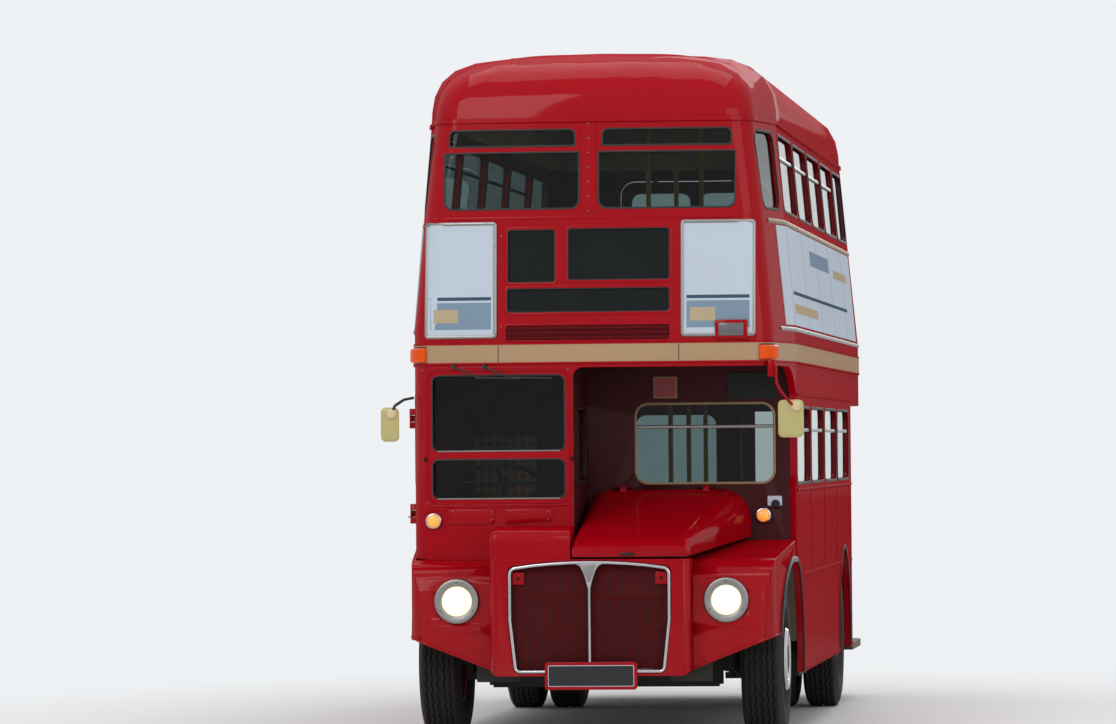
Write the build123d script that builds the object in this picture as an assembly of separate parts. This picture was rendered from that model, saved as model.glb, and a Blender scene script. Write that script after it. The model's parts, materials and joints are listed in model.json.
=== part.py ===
"""Half-cab double decker bus with an open rear platform.

Millimetres. +Z is up, the front faces -Y, and +X is the nearside, the kerb side.
The origin is on the ground, below the middle of the overall box.
"""
import math
import os
from typing import NamedTuple

from build123d import *

# Overall sizes
LENGTH = 8390
WIDTH = 2438
HEIGHT = 4400
ROOF_TOP_Z = 4380
WHEELBASE = 5131
FRONT_OVERHANG = 1100
NOSE_PROJECTION = 310

# Places along the bus
NOSE_Y = -LENGTH / 2
FRONT_AXLE_Y = NOSE_Y + FRONT_OVERHANG
REAR_AXLE_Y = FRONT_AXLE_Y + WHEELBASE
FRONT_Y = NOSE_Y + NOSE_PROJECTION
REAR_Y = LENGTH / 2
BULKHEAD_SETBACK = 890
BULKHEAD_Y = FRONT_Y + BULKHEAD_SETBACK
BAY_PITCH = 1420
PILLAR_Y = [BULKHEAD_Y - 35 + BAY_PITCH * k for k in range(5)]
PLATFORM_LENGTH = 1260
PLATFORM_Y = REAR_Y - PLATFORM_LENGTH

# Heights above the ground
SKIRT_Z = 400
PLATFORM_Z = 420
LOWER_FLOOR_Z = 660
DECK_SPLIT_Z = 2360
BAND_TOP_Z = 2505
UPPER_FLOOR_Z = 2450
CANTRAIL_Z = 3930
WAIST_Z = 1580
LOWER_WINDOW_TOP_Z = 2110
UPPER_SILL_Z = 3335
UPPER_WINDOW_TOP_Z = 3850
CAB_FLOOR_Z = 1060
BONNET_REAR_Z = 1585
BONNET_FRONT_Z = 1300

# Wall and sheet thicknesses
WALL = 45
GLASS = 6
GLASS_INSET = 18
FLOOR = 60
ROOF_WALL = 40
SEAM = 1.0


class Section(NamedTuple):
    """One level of the body in plan."""

    z: float
    half_width: float
    front_half_width: float
    front_setback: float
    rear_inset: float
    front_radius: float
    rear_radius: float


TUMBLEHOME_Z = 2600
REAR_LEAN = 70


def rear_lean(z):
    """How far the flat rear wall leans in at a level of the upper deck."""
    return REAR_LEAN * (z - TUMBLEHOME_Z) / (CANTRAIL_Z - TUMBLEHOME_Z)


# Columns: level, half width, half width at the front corner, how far the front leans back,
# how far the rear leans in, plan radius of the front corners and of the rear corners
BODY_SECTIONS = [
    Section(SKIRT_Z, WIDTH / 2, 1140, 0, 0, 150, 230),
    Section(TUMBLEHOME_Z, WIDTH / 2, 1135, 0, 0, 150, 230),
    Section(UPPER_SILL_Z, WIDTH / 2 - 66, 1068, 62, rear_lean(UPPER_SILL_Z), 165, 300),
    Section(CANTRAIL_Z, WIDTH / 2 - 119, 1008, 118, rear_lean(CANTRAIL_Z), 190, 330),
]
FRONT_BOW = 38
CORNER_SPLIT_Y = FRONT_Y + 235
REAR_CORNER_Y = REAR_Y - 400


def box(x0, x1, y0, y1, z0, z1):
    """A block between two corners."""
    size = (abs(x1 - x0), abs(y1 - y0), abs(z1 - z0))
    return Pos((x0 + x1) / 2, (y0 + y1) / 2, (z0 + z1) / 2) * Box(*size)


def rounded_prism_x(x0, x1, y0, y1, z0, z1, radius):
    """A prism along X with a rounded rectangle for its section."""
    sketch = Plane.YZ.offset(x0) * Pos((y0 + y1) / 2, (z0 + z1) / 2) * RectangleRounded(
        y1 - y0, z1 - z0, radius
    )
    return extrude(sketch, x1 - x0)


def rounded_prism_y(x0, x1, y0, y1, z0, z1, radius):
    """A prism along Y with a rounded rectangle for its section."""
    sketch = Plane.XZ.offset(-y0) * Pos((x0 + x1) / 2, (z0 + z1) / 2) * RectangleRounded(
        x1 - x0, z1 - z0, radius
    )
    return extrude(sketch, -(y1 - y0))


def rod(start, end, radius):
    """A round bar between two points."""
    path = Vector(*end) - Vector(*start)
    plane = Plane(origin=start, z_dir=path.normalized())
    return extrude(plane * Circle(radius), path.length)


def union(parts):
    """All the parts as one shape."""
    total = parts[0]
    for part in parts[1:]:
        total = total + part
    return total


def group(*shapes):
    """Several shapes as one node of separate solids."""
    return Compound([solid for shape in shapes for solid in shape.solids()])


def mirror_x(shape):
    """The same shape on the other side of the bus."""
    return mirror(shape, about=Plane.YZ)


def section_at(z):
    """The plan of the body at a level, between the rows of the table."""
    rows = BODY_SECTIONS
    for low, high in zip(rows, rows[1:]):
        if low.z <= z <= high.z:
            share = (z - low.z) / (high.z - low.z)
            return Section(*[a + (b - a) * share for a, b in zip(low, high)])
    nearest = rows[0] if z < rows[0].z else rows[-1]
    return nearest._replace(z=z)


def outline_face(row, inset):
    """The outline of one row of a table of sections, moved in by an inset."""
    side = row.half_width - inset
    front = row.front_half_width - inset
    front_y = FRONT_Y + row.front_setback + inset
    rear_y = REAR_Y - row.rear_inset - inset
    front_r = max(row.front_radius - inset, 30)
    rear_r = max(row.rear_radius - inset, 30)
    corner_y = front_y + FRONT_BOW
    taper_y = max(PILLAR_Y[0], corner_y + front_r + 60)
    flat = front - front_r
    diagonal = math.sqrt(0.5)
    front_mid = (flat + front_r * diagonal, corner_y + front_r - front_r * diagonal)
    rear_mid = (side - rear_r + rear_r * diagonal, rear_y - rear_r + rear_r * diagonal)
    edges = []
    for s in (1, -1):
        edges += [
            ThreePointArc((s * flat, corner_y), (s * front_mid[0], front_mid[1]),
                          (s * front, corner_y + front_r)),
            Line((s * front, corner_y + front_r), (s * side, taper_y)),
            Line((s * side, taper_y), (s * side, rear_y - rear_r)),
            ThreePointArc((s * side, rear_y - rear_r), (s * rear_mid[0], rear_mid[1]),
                          (s * (side - rear_r), rear_y)),
        ]
    edges.append(ThreePointArc((-flat, corner_y), (0, front_y), (flat, corner_y)))
    edges.append(Line((-(side - rear_r), rear_y), (side - rear_r, rear_y)))
    return Pos(0, 0, row.z) * make_face(edges)


def plan_face(z, inset):
    """The body's outline at a level, moved in by an inset."""
    return outline_face(section_at(z), inset)


def body_solid(z0, z1, inset=0.0):
    """The body between two levels, moved in by an inset."""
    levels = [z0] + [row.z for row in BODY_SECTIONS if z0 < row.z < z1] + [z1]
    return loft([plan_face(z, inset) for z in levels], ruled=True)


def body_shell(z0, z1, outer_inset, thickness):
    """A wall that follows the body's outline."""
    return body_solid(z0, z1, outer_inset) - body_solid(z0, z1, outer_inset + thickness)


# Windows

WINDOW_RADIUS = 85
PILLAR_WIDTH = 110
BIG = 3000


class Opening(NamedTuple):
    """A rounded window opening in a wall."""

    low: float
    high: float
    bottom: float
    top: float
    radius: float


def bay_windows(bottom, top, bays):
    """Openings between the pillars of a side wall."""
    half = PILLAR_WIDTH / 2
    return [
        Opening(PILLAR_Y[k] + half, PILLAR_Y[k] + BAY_PITCH - half, bottom, top, WINDOW_RADIUS)
        for k in bays
    ]


LOWER_WINDOWS = bay_windows(WAIST_Z + 35, LOWER_WINDOW_TOP_Z, range(4))
UPPER_WINDOWS = (
    [Opening(FRONT_Y + 262, BULKHEAD_Y - 130, UPPER_SILL_Z + 15, UPPER_WINDOW_TOP_Z, WINDOW_RADIUS)]
    + bay_windows(UPPER_SILL_Z + 15, UPPER_WINDOW_TOP_Z, range(4))
    + [Opening(PILLAR_Y[4] + 55, REAR_CORNER_Y - 40, UPPER_SILL_Z + 15, UPPER_WINDOW_TOP_Z,
               WINDOW_RADIUS)]
)

SIDE_INSIDE = 900
SIDE_OUTSIDE = 1400


def side_cutters(openings, side):
    """Prisms that cut side windows."""
    x0, x1 = sorted((side * SIDE_INSIDE, side * SIDE_OUTSIDE))
    return union([rounded_prism_x(x0, x1, o.low, o.high, o.bottom, o.top, o.radius)
                  for o in openings])


# Front openings, columns: low x, high x, bottom, top, corner radius
UPPER_FRONT_WINDOWS = [
    Opening(-935, -75, 3352, 3715, 60),
    Opening(40, 905, 3352, 3715, 60),
    Opening(-905, -100, 3747, 3858, 40),
    Opening(65, 880, 3747, 3858, 40),
]
FRONT_BLINDS = [
    Opening(-536, -224, 2888, 3231, 25),
    Opening(-155, 495, 2900, 3236, 25),
    Opening(-540, 495, 2700, 2862, 25),
]
FRONT_VENT = Opening(-540, 490, 2530, 2625, 12)
FRONT_ADVERTS = [
    Opening(-1040, -612, 2560, 3262, 10),
    Opening(574, 1010, 2560, 3262, 10),
]


def front_cutters(openings, y0, y1):
    """Prisms along Y for openings in a front or rear wall."""
    return union([rounded_prism_y(o.low, o.high, y0, y1, o.bottom, o.top, o.radius)
                  for o in openings])


# Hinges

PIN_RADIUS = 5
PIN_CLEARANCE = 0.3
KNUCKLE_RADIUS = 9
KNUCKLE_LENGTH = 40
KNUCKLE_PITCH = KNUCKLE_LENGTH + 2
HINGE_OUT = 12


def hinge(place, leaves, fixed, upright=False):
    """Half of a hinge whose pin runs along X, or along Z where it is upright.

    The fixed half holds the pin in two knuckles. The moving half is one knuckle between them.
    A leaf is a block across the pin, from low to high in each of the two directions across it.
    """
    half = KNUCKLE_LENGTH / 2
    turn = Rot(0, 0, 0) if upright else Rot(0, 90, 0)
    parts = []
    for offset in (-KNUCKLE_PITCH, KNUCKLE_PITCH) if fixed else (0,):
        parts.append(turn * Pos(0, 0, offset) * Cylinder(KNUCKLE_RADIUS, KNUCKLE_LENGTH))
        for a0, a1, b0, b1 in leaves:
            if upright:
                parts.append(box(a0, a1, b0, b1, offset - half, offset + half))
            else:
                parts.append(box(offset - half, offset + half, a0, a1, b0, b1))
    solid = union(parts)
    if fixed:
        solid = solid + turn * Cylinder(PIN_RADIUS, 3 * KNUCKLE_LENGTH + 4)
    else:
        solid = solid - turn * Cylinder(PIN_RADIUS + PIN_CLEARANCE, KNUCKLE_LENGTH * 2)
    return Pos(*place) * solid


BONNET_HINGE_X = (110, 640)
BONNET_HINGE_Y = BULKHEAD_Y - HINGE_OUT
BONNET_HINGE_Z = BONNET_REAR_Z + 15
EMERGENCY_HINGE_X = (-300, 300)
CAB_HINGE_X = -1178
CAB_HINGE_Y = FRONT_Y + 290
CAB_HINGE_Z = (1450, 2050)


# Upper deck body

BLIND_RECESS = 26
GUTTER_HEIGHT = 28
GUTTER_REACH = 13
FRONT_REACH = FRONT_Y - 60


def upper_shell():
    """Wall of the upper deck all the way round, with the rain gutter at its top."""
    wall = body_shell(DECK_SPLIT_Z, CANTRAIL_Z, 0, WALL)
    gutter = body_shell(CANTRAIL_Z - GUTTER_HEIGHT, CANTRAIL_Z, -GUTTER_REACH, GUTTER_REACH + 5)
    return wall + gutter


UPPER_SHELL = upper_shell()


def upper_front_cutters():
    """Front windows of the upper deck: each pair of lights is square where the two meet."""
    cutters = [front_cutters(UPPER_FRONT_WINDOWS, FRONT_REACH, FRONT_Y + 400)]
    for main, toplight in zip(UPPER_FRONT_WINDOWS[:2], UPPER_FRONT_WINDOWS[2:]):
        middle = (main.bottom + main.top) / 2
        cutters.append(box(main.low, main.high, FRONT_REACH, FRONT_Y + 400, middle, main.top))
        middle = (toplight.bottom + toplight.top) / 2
        cutters.append(box(toplight.low, toplight.high, FRONT_REACH, FRONT_Y + 400,
                           toplight.bottom, middle))
    return union(cutters)


def vent_louvres():
    """Louvres of the air intake over the band."""
    o = FRONT_VENT
    slats = []
    count = 3
    pitch = (o.top - o.bottom) / count
    for k in range(count):
        low = o.bottom + pitch * (k + 0.2)
        slats.append(body_shell(DECK_SPLIT_Z, CANTRAIL_Z, 4, 24)
                     & rounded_prism_y(o.low - 2, o.high + 2, FRONT_REACH, FRONT_Y + 60, low,
                                       low + pitch * 0.6, 4))
    return union(slats)


def upper_front():
    """Front wall of the upper deck, with windows and recessed blind openings."""
    wall = UPPER_SHELL & box(-BIG, BIG, -BIG * 2, CORNER_SPLIT_Y, 0, BIG * 2)
    wall = wall - upper_front_cutters()
    recess = body_shell(DECK_SPLIT_Z, CANTRAIL_Z, -5, BLIND_RECESS + 5) & front_cutters(
        FRONT_BLINDS + [FRONT_VENT], FRONT_REACH, FRONT_Y + 200)
    return wall - recess + vent_louvres()


def upper_side(side):
    """Side wall of the upper deck."""
    reach = (0, BIG) if side > 0 else (-BIG, 0)
    wall = UPPER_SHELL & box(reach[0], reach[1], CORNER_SPLIT_Y, REAR_CORNER_Y, 0, BIG * 2)
    return wall - side_cutters(UPPER_WINDOWS, side)


EMERGENCY = Opening(-560, 560, 2960, 3850, 110)
EMERGENCY_PANES = [Opening(-490, -25, 3330, 3770, 80), Opening(25, 490, 3330, 3770, 80)]
DOOR_GAP = 6
EMERGENCY_HINGE_Z = EMERGENCY.top + 14
EMERGENCY_HINGE_Y = REAR_Y - rear_lean(EMERGENCY_HINGE_Z) + HINGE_OUT


def upper_rear():
    """Rear wall of the upper deck, with the emergency door's opening."""
    wall = UPPER_SHELL & box(-BIG, BIG, REAR_CORNER_Y, BIG * 2, 0, BIG * 2)
    wall = wall - front_cutters([EMERGENCY], REAR_Y - 300, REAR_Y + 60)
    knuckles = [hinge((x, EMERGENCY_HINGE_Y, EMERGENCY_HINGE_Z), [(-42, 0, 0, 8)], True)
                for x in EMERGENCY_HINGE_X]
    return union([wall] + knuckles)


def rear_slab(inset, thickness):
    """A flat slab in line with the leaning rear wall of the upper deck."""
    angle = math.degrees(math.atan2(REAR_LEAN, CANTRAIL_Z - TUMBLEHOME_Z))
    slab = Box(WIDTH, thickness, BIG)
    return Pos(0, REAR_Y, TUMBLEHOME_Z) * Rot(angle, 0, 0) * Pos(0, -inset - thickness / 2, 0) * slab


def emergency_door():
    """Top-hinged emergency door with two window openings."""
    o = EMERGENCY
    leaf = Opening(o.low + DOOR_GAP, o.high - DOOR_GAP, o.bottom + DOOR_GAP, o.top - DOOR_GAP, 104)
    door = rear_slab(0, WALL) & front_cutters([leaf], REAR_Y - 300, REAR_Y + 60)
    for pane in EMERGENCY_PANES:
        door = door - front_cutters([pane], REAR_Y - 300, REAR_Y + 60)
    leaves = [(-6, 0, -62, 0), (-16, 0, -66, -50)]
    knuckles = [hinge((x, EMERGENCY_HINGE_Y, EMERGENCY_HINGE_Z), leaves, False)
                for x in EMERGENCY_HINGE_X]
    return union([door] + knuckles)


# Roof


# Columns as in the body's table: the outline of the roof level by level, up to its crown
ROOF_SECTIONS = [
    Section(CANTRAIL_Z, 1100, 1008, 118, 70, 190, 330),
    Section(4010, 1096, 1003, 128, 78, 200, 335),
    Section(4110, 1078, 982, 160, 108, 230, 350),
    Section(4205, 1030, 930, 222, 172, 280, 375),
    Section(4275, 946, 842, 318, 270, 330, 400),
    Section(4325, 820, 712, 460, 420, 350, 400),
    Section(4358, 640, 530, 660, 640, 320, 380),
    Section(4376, 410, 320, 930, 930, 210, 300),
    Section(ROOF_TOP_Z, 240, 190, 1150, 1150, 120, 160),
]
ROOF_RISE = ROOF_TOP_Z - CANTRAIL_Z
FRONT_DOME_END = FRONT_Y + 1350
REAR_DOME_END = REAR_Y - 1350


def roof_solid(inset):
    """The whole roof above the cantrail, moved in by an inset."""
    faces = []
    for row in ROOF_SECTIONS:
        share = (row.z - CANTRAIL_Z) / ROOF_RISE
        lowered = row._replace(z=row.z - inset * share ** 0.5)
        faces.append(outline_face(lowered, inset * (1 - 0.5 * share)))
    return loft(faces, ruled=True)


ROOF_SHELL = roof_solid(0) - roof_solid(ROOF_WALL)


def roof_part(y0, y1):
    """The part of the roof between two places along the bus."""
    return ROOF_SHELL & box(-BIG, BIG, y0, y1, 0, BIG * 2)


def front_dome():
    """Front dome of the roof."""
    return roof_part(-BIG * 2, FRONT_DOME_END)


def rear_dome():
    """Rear dome of the roof."""
    return roof_part(REAR_DOME_END, BIG * 2)


VENTILATOR = (-700, -330, -2250, -1650)


def roof_panels():
    """The straight middle of the roof, with its low ventilator."""
    x0, x1, y0, y1 = VENTILATOR
    cover = box(x0, x1, y0, y1, ROOF_TOP_Z - 50, HEIGHT)
    cover = fillet(cover.edges().filter_by(Axis.Z), 60)
    cover = chamfer(cover.faces().sort_by(Axis.Z)[-1].edges(), 18)
    return roof_part(FRONT_DOME_END, REAR_DOME_END) + (cover - roof_solid(ROOF_WALL / 2))


# Lower deck body

LOWER_SHELL = body_shell(SKIRT_Z, DECK_SPLIT_Z, 0, WALL)
WHEEL_Z = 505
TYRE_RADIUS = 505
ARCH_RADIUS = 630


def wheel_arch(y, radius):
    """A cylinder across the bus that clears a wheel."""
    return Pos(0, y, WHEEL_Z) * Rot(0, 90, 0) * Cylinder(radius, WIDTH + 200)


REAR_PANEL_EDGE_X = 430
HEADER_Z = 2150


STEER_INNER_X = 545
FRONT_COVER = 20


def steering_space(grow):
    """Space swept by both steered wheels, larger by a wall."""
    whole = wheel_arch(FRONT_AXLE_Y, ARCH_RADIUS + grow)
    return whole - box(-STEER_INNER_X + grow, STEER_INNER_X - grow, -BIG * 2, 0, 0, BIG)


def front_wheel_covers():
    """Covers over the front wheels, inside the saloon."""
    shell = steering_space(FRONT_COVER) - steering_space(0)
    inner = section_at(WAIST_Z).half_width - WALL - SEAM
    return shell & box(-inner, inner, BULKHEAD_Y + WALL, 0, LOWER_FLOOR_Z, BIG)


CANOPY_CURVE = 300


def canopy_bracket():
    """Curved web below the canopy, where its side meets the bulkhead's pillar."""
    y0, z0 = BULKHEAD_Y - CANOPY_CURVE, DECK_SPLIT_Z - CANOPY_CURVE
    web = LOWER_SHELL & box(0, BIG, y0, BULKHEAD_Y, z0, DECK_SPLIT_Z)
    return web - Pos(0, y0, z0) * Rot(0, 90, 0) * Cylinder(CANOPY_CURVE, BIG * 2)


def lower_side_nearside():
    """Nearside lower wall, from the bulkhead to the platform, and the lintel over the platform."""
    wall = LOWER_SHELL & box(0, BIG, BULKHEAD_Y, PLATFORM_Y, 0, BIG)
    lintel = LOWER_SHELL & box(REAR_PANEL_EDGE_X, BIG, PLATFORM_Y, BIG * 2, HEADER_Z, BIG)
    wall = wall - side_cutters(LOWER_WINDOWS, 1) + lintel + canopy_bracket()
    return wall - wheel_arch(REAR_AXLE_Y, ARCH_RADIUS) - wheel_arch(FRONT_AXLE_Y, ARCH_RADIUS)


def lower_side_offside():
    """Offside lower wall, from the bulkhead to the rear corner."""
    wall = LOWER_SHELL & box(-BIG, 0, BULKHEAD_Y, REAR_CORNER_Y, 0, BIG)
    wall = wall - side_cutters(LOWER_WINDOWS, -1)
    return wall - wheel_arch(REAR_AXLE_Y, ARCH_RADIUS) - wheel_arch(FRONT_AXLE_Y, ARCH_RADIUS)


REAR_LOWER_WINDOW = Opening(-480, 150, WAIST_Z - 60, LOWER_WINDOW_TOP_Z, 90)
REAR_LAMPS_X = (-960, 330)
REAR_LAMP_Z = 760


def lower_rear():
    """Lower rear wall: offside corner and panel, beside the open platform."""
    wall = LOWER_SHELL & box(-BIG, REAR_PANEL_EDGE_X, REAR_CORNER_Y, BIG * 2, 0, BIG)
    wall = wall - front_cutters([REAR_LOWER_WINDOW], REAR_Y - 100, REAR_Y + 100)
    for x in REAR_LAMPS_X:
        wall = wall - Pos(x, REAR_Y, REAR_LAMP_Z) * Rot(90, 0, 0) * Cylinder(LAMP_HOLE, 34)
    return wall


BULKHEAD_WINDOW = Opening(185, 1080, 1620, 2137, 85)


def front_bulkhead():
    """Wall between the lower saloon and the cab and engine."""
    wall = body_solid(LOWER_FLOOR_Z - FLOOR, DECK_SPLIT_Z, WALL + SEAM) & box(
        -BIG, BIG, BULKHEAD_Y, BULKHEAD_Y + WALL, 0, BIG)
    window = front_cutters([BULKHEAD_WINDOW], BULKHEAD_Y - 60, BULKHEAD_Y + 120)
    knuckles = [hinge((x, BONNET_HINGE_Y, BONNET_HINGE_Z), [(0, 14, -4, 4)], True)
                for x in BONNET_HINGE_X]
    return union([wall - window - steering_space(0)] + knuckles)


PLATFORM_BULKHEAD_Y = PLATFORM_Y - WALL


def platform_bulkhead():
    """Screens between the lower saloon and the platform: windowed on the nearside,
    and low under the stairs on the offside."""
    inner = section_at(WAIST_Z).half_width - WALL - SEAM
    y0, y1 = PLATFORM_BULKHEAD_Y, PLATFORM_BULKHEAD_Y + 30
    nearside = box(330, inner, y0, y1, LOWER_FLOOR_Z, DECK_SPLIT_Z - 5)
    nearside = nearside - rounded_prism_y(420, inner - 90, y0 - 50, y1 + 60, WAIST_Z,
                                          LOWER_WINDOW_TOP_Z, 80)
    offside = box(-inner, -330, y0, y1, LOWER_FLOOR_Z, 1350)
    return group(nearside, offside)


# Floors


def rear_wheel_boxes():
    """Boxes over the rear wheels, inside the saloon."""
    inner = section_at(WAIST_Z).half_width - WALL - SEAM
    boxes = []
    for side in (1, -1):
        low, high = sorted((side * 560, side * inner))
        shell = box(low, high, REAR_AXLE_Y - 640, REAR_AXLE_Y + 640, LOWER_FLOOR_Z, 1150)
        cavity_low, cavity_high = sorted((side * 580, side * (inner + 50)))
        cavity = box(cavity_low, cavity_high, REAR_AXLE_Y - 620, REAR_AXLE_Y + 620,
                     LOWER_FLOOR_Z - 50, 1130)
        boxes.append(shell - cavity)
    return union(boxes)


def lower_floor():
    """Floor of the lower saloon."""
    slab = body_solid(LOWER_FLOOR_Z - FLOOR, LOWER_FLOOR_Z, WALL + SEAM) & box(
        -BIG, BIG, BULKHEAD_Y + WALL, PLATFORM_Y, 0, BIG)
    inner = section_at(WAIST_Z).half_width
    for side in (1, -1):
        low, high = sorted((side * 580, side * inner))
        slab = slab - box(low, high, REAR_AXLE_Y - 620, REAR_AXLE_Y + 620, 0, BIG)
    return slab - steering_space(0)


def rear_platform():
    """Open boarding platform with its riser up to the saloon floor."""
    slab = body_solid(PLATFORM_Z - 50, PLATFORM_Z, SEAM) & box(
        -BIG, BIG, PLATFORM_Y + SEAM, BIG * 2, 0, BIG)
    keep = body_solid(PLATFORM_Z - 50, PLATFORM_Z, WALL + SEAM) + box(
        REAR_PANEL_EDGE_X + SEAM, BIG, 0, BIG * 2, 0, BIG)
    slab = slab & keep
    riser = box(-1170, 1170, PLATFORM_Y, PLATFORM_Y + 25, PLATFORM_Z, LOWER_FLOOR_Z)
    return slab + riser


STAIRWELL = (-1172, -500, 2180, 3560)


def upper_floor():
    """Floor of the upper deck, with the stairwell."""
    slab = body_solid(DECK_SPLIT_Z + 15, UPPER_FLOOR_Z, WALL + SEAM)
    x0, x1, y0, y1 = STAIRWELL
    return slab - box(x0 - 10, x1, y0, y1, 0, BIG)


# Cab

CAB_INNER_X = -118
WINDSCREEN_UPPER = Opening(-1015, -170, 1838, 2318, 45)
WINDSCREEN_LOWER = Opening(-1015, -170, 1540, 1792, 45)
CAB_DOOR = Opening(FRONT_Y + 290, BULKHEAD_Y - 50, 1290, 2290, 70)
CAB_DOOR_WINDOW = Opening(CAB_DOOR.low + 70, CAB_DOOR.high - 70, 1640, 2200, 55)
CAB_PANEL_Z = 1150


HEADER_RADIUS = 60


def header_corner():
    """Rounded corner between the cab's inner pillar and the canopy over the bonnet."""
    x1, z0 = CAB_INNER_X + HEADER_RADIUS, DECK_SPLIT_Z - HEADER_RADIUS
    web = body_shell(CAB_PANEL_Z, DECK_SPLIT_Z, 0, WALL) & box(
        CAB_INNER_X, x1, -BIG * 2, CORNER_SPLIT_Y, z0, DECK_SPLIT_Z)
    return web - Pos(x1, FRONT_Y, z0) * Rot(90, 0, 0) * Cylinder(HEADER_RADIUS, 800)


def cab_front():
    """Front of the driver's cab with the windscreen opening."""
    shell = body_shell(CAB_PANEL_Z, DECK_SPLIT_Z, 0, WALL)
    wall = shell & box(-BIG, CAB_INNER_X, -BIG * 2, CORNER_SPLIT_Y, 0, BIG)
    wall = wall + header_corner()
    lamp_hole = Pos(CAB_LAMP_X, FRONT_Y, SIDE_LAMP_Z) * Rot(90, 0, 0) * Cylinder(LAMP_HOLE, 300)
    wall = wall - front_cutters([WINDSCREEN_UPPER, WINDSCREEN_LOWER], FRONT_REACH, FRONT_Y + 225)
    return wall - lamp_hole - wing_solid(-1, -SEAM)


def cab_offside():
    """Offside wall of the cab around the door."""
    shell = body_shell(CAB_PANEL_Z, DECK_SPLIT_Z, 0, WALL)
    wall = shell & box(-BIG, 0, CORNER_SPLIT_Y, BULKHEAD_Y, 0, BIG)
    knuckles = [hinge((CAB_HINGE_X, CAB_HINGE_Y, z), [(-4, 38, -32, -4)], True, upright=True)
                for z in CAB_HINGE_Z]
    wall = wall - side_cutters([CAB_DOOR], -1) - wing_solid(-1, -SEAM)
    return union([wall] + knuckles)


CAB_SIDE_WINDOW = Opening(FRONT_Y + 220, BULKHEAD_Y - 120, 1640, 2110, 70)


def cab_nearside():
    """Inner wall of the cab, beside the bonnet."""
    wall = box(CAB_INNER_X - WALL, CAB_INNER_X, FRONT_Y + WALL + 20, BULKHEAD_Y, CAB_FLOOR_Z,
               DECK_SPLIT_Z)
    window = rounded_prism_x(CAB_INNER_X - 100, CAB_INNER_X + 60, CAB_SIDE_WINDOW.low,
                             CAB_SIDE_WINDOW.high, CAB_SIDE_WINDOW.bottom, CAB_SIDE_WINDOW.top, 70)
    return wall - window


CAB_FLOOR_X = 1125
CAB_LAMP_X = -1005
SIDE_LAMP_Z = 1405
LAMP_HOLE = 46
LAMP_RADIUS = 45


def cab_floor():
    """Floor of the cab over the front wheel."""
    slab = body_solid(CAB_FLOOR_Z, CAB_FLOOR_Z + 40, WALL + SEAM)
    return slab & box(-CAB_FLOOR_X, CAB_INNER_X - WALL - SEAM, -BIG * 2, BULKHEAD_Y, 0, BIG)


def cab_door():
    """Front-hinged cab door with its window opening."""
    o = CAB_DOOR
    leaf = rounded_prism_x(-SIDE_OUTSIDE, -SIDE_INSIDE, o.low + DOOR_GAP, o.high - DOOR_GAP,
                           o.bottom + DOOR_GAP, o.top - DOOR_GAP, o.radius - DOOR_GAP)
    door = body_shell(CAB_PANEL_Z, DECK_SPLIT_Z, 0, WALL) & leaf
    knuckles = [hinge((CAB_HINGE_X, CAB_HINGE_Y, z), [(-4, 38, 6, 34)], False, upright=True)
                for z in CAB_HINGE_Z]
    return union([door - side_cutters([CAB_DOOR_WINDOW], -1)] + knuckles)


def cab_door_glass():
    """Window of the cab door."""
    return body_shell(CAB_PANEL_Z, DECK_SPLIT_Z, GLASS_INSET, GLASS) & side_cutters(
        [CAB_DOOR_WINDOW], -1)


# Glazing

UPPER_GLASS = body_shell(DECK_SPLIT_Z, CANTRAIL_Z, GLASS_INSET, GLASS)
LOWER_GLASS = body_shell(SKIRT_Z, DECK_SPLIT_Z, GLASS_INSET, GLASS)


def upper_side_glazing(side):
    """Panes of one side of the upper deck."""
    return UPPER_GLASS & side_cutters(UPPER_WINDOWS, side)


def lower_side_glazing(side):
    """Panes of one side of the lower saloon."""
    return LOWER_GLASS & side_cutters(LOWER_WINDOWS, side)


def upper_front_glazing():
    """Panes of the upper deck's front windows."""
    return UPPER_GLASS & upper_front_cutters()


def windscreen():
    """Panes of the cab's two-part windscreen."""
    return LOWER_GLASS & front_cutters([WINDSCREEN_UPPER, WINDSCREEN_LOWER], FRONT_REACH,
                                       FRONT_Y + 225)


def bulkhead_glazing():
    """Panes of the front bulkhead and the cab's inner side."""
    o = BULKHEAD_WINDOW
    panes = [rounded_prism_y(o.low, o.high, BULKHEAD_Y + 20, BULKHEAD_Y + 20 + GLASS, o.bottom,
                             o.top, o.radius)]
    o = CAB_SIDE_WINDOW
    panes.append(rounded_prism_x(CAB_INNER_X - 25, CAB_INNER_X - 25 + GLASS, o.low, o.high,
                                 o.bottom, o.top, 70))
    return union(panes)


def rear_glazing():
    """Pane of the lower rear window."""
    return LOWER_GLASS & front_cutters([REAR_LOWER_WINDOW], REAR_Y - 100, REAR_Y + 100)


def emergency_glazing():
    """Panes of the emergency door."""
    panes = [rear_slab(GLASS_INSET, GLASS) & front_cutters([pane], REAR_Y - 300, REAR_Y + 60)
             for pane in EMERGENCY_PANES]
    return group(*panes)


# Band, blinds and adverts


def cream_band():
    """Painted moulding between the decks."""
    proud = 6
    ring = body_solid(DECK_SPLIT_Z + 34, BAND_TOP_Z, -proud) - body_solid(
        DECK_SPLIT_Z + 34, BAND_TOP_Z, 0)
    return ring


def blind_glasses():
    """Glasses of the blank destination blinds, in their recesses."""
    return body_shell(DECK_SPLIT_Z, CANTRAIL_Z, 8, GLASS) & front_cutters(
        FRONT_BLINDS, FRONT_REACH, FRONT_Y + 200)


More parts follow.
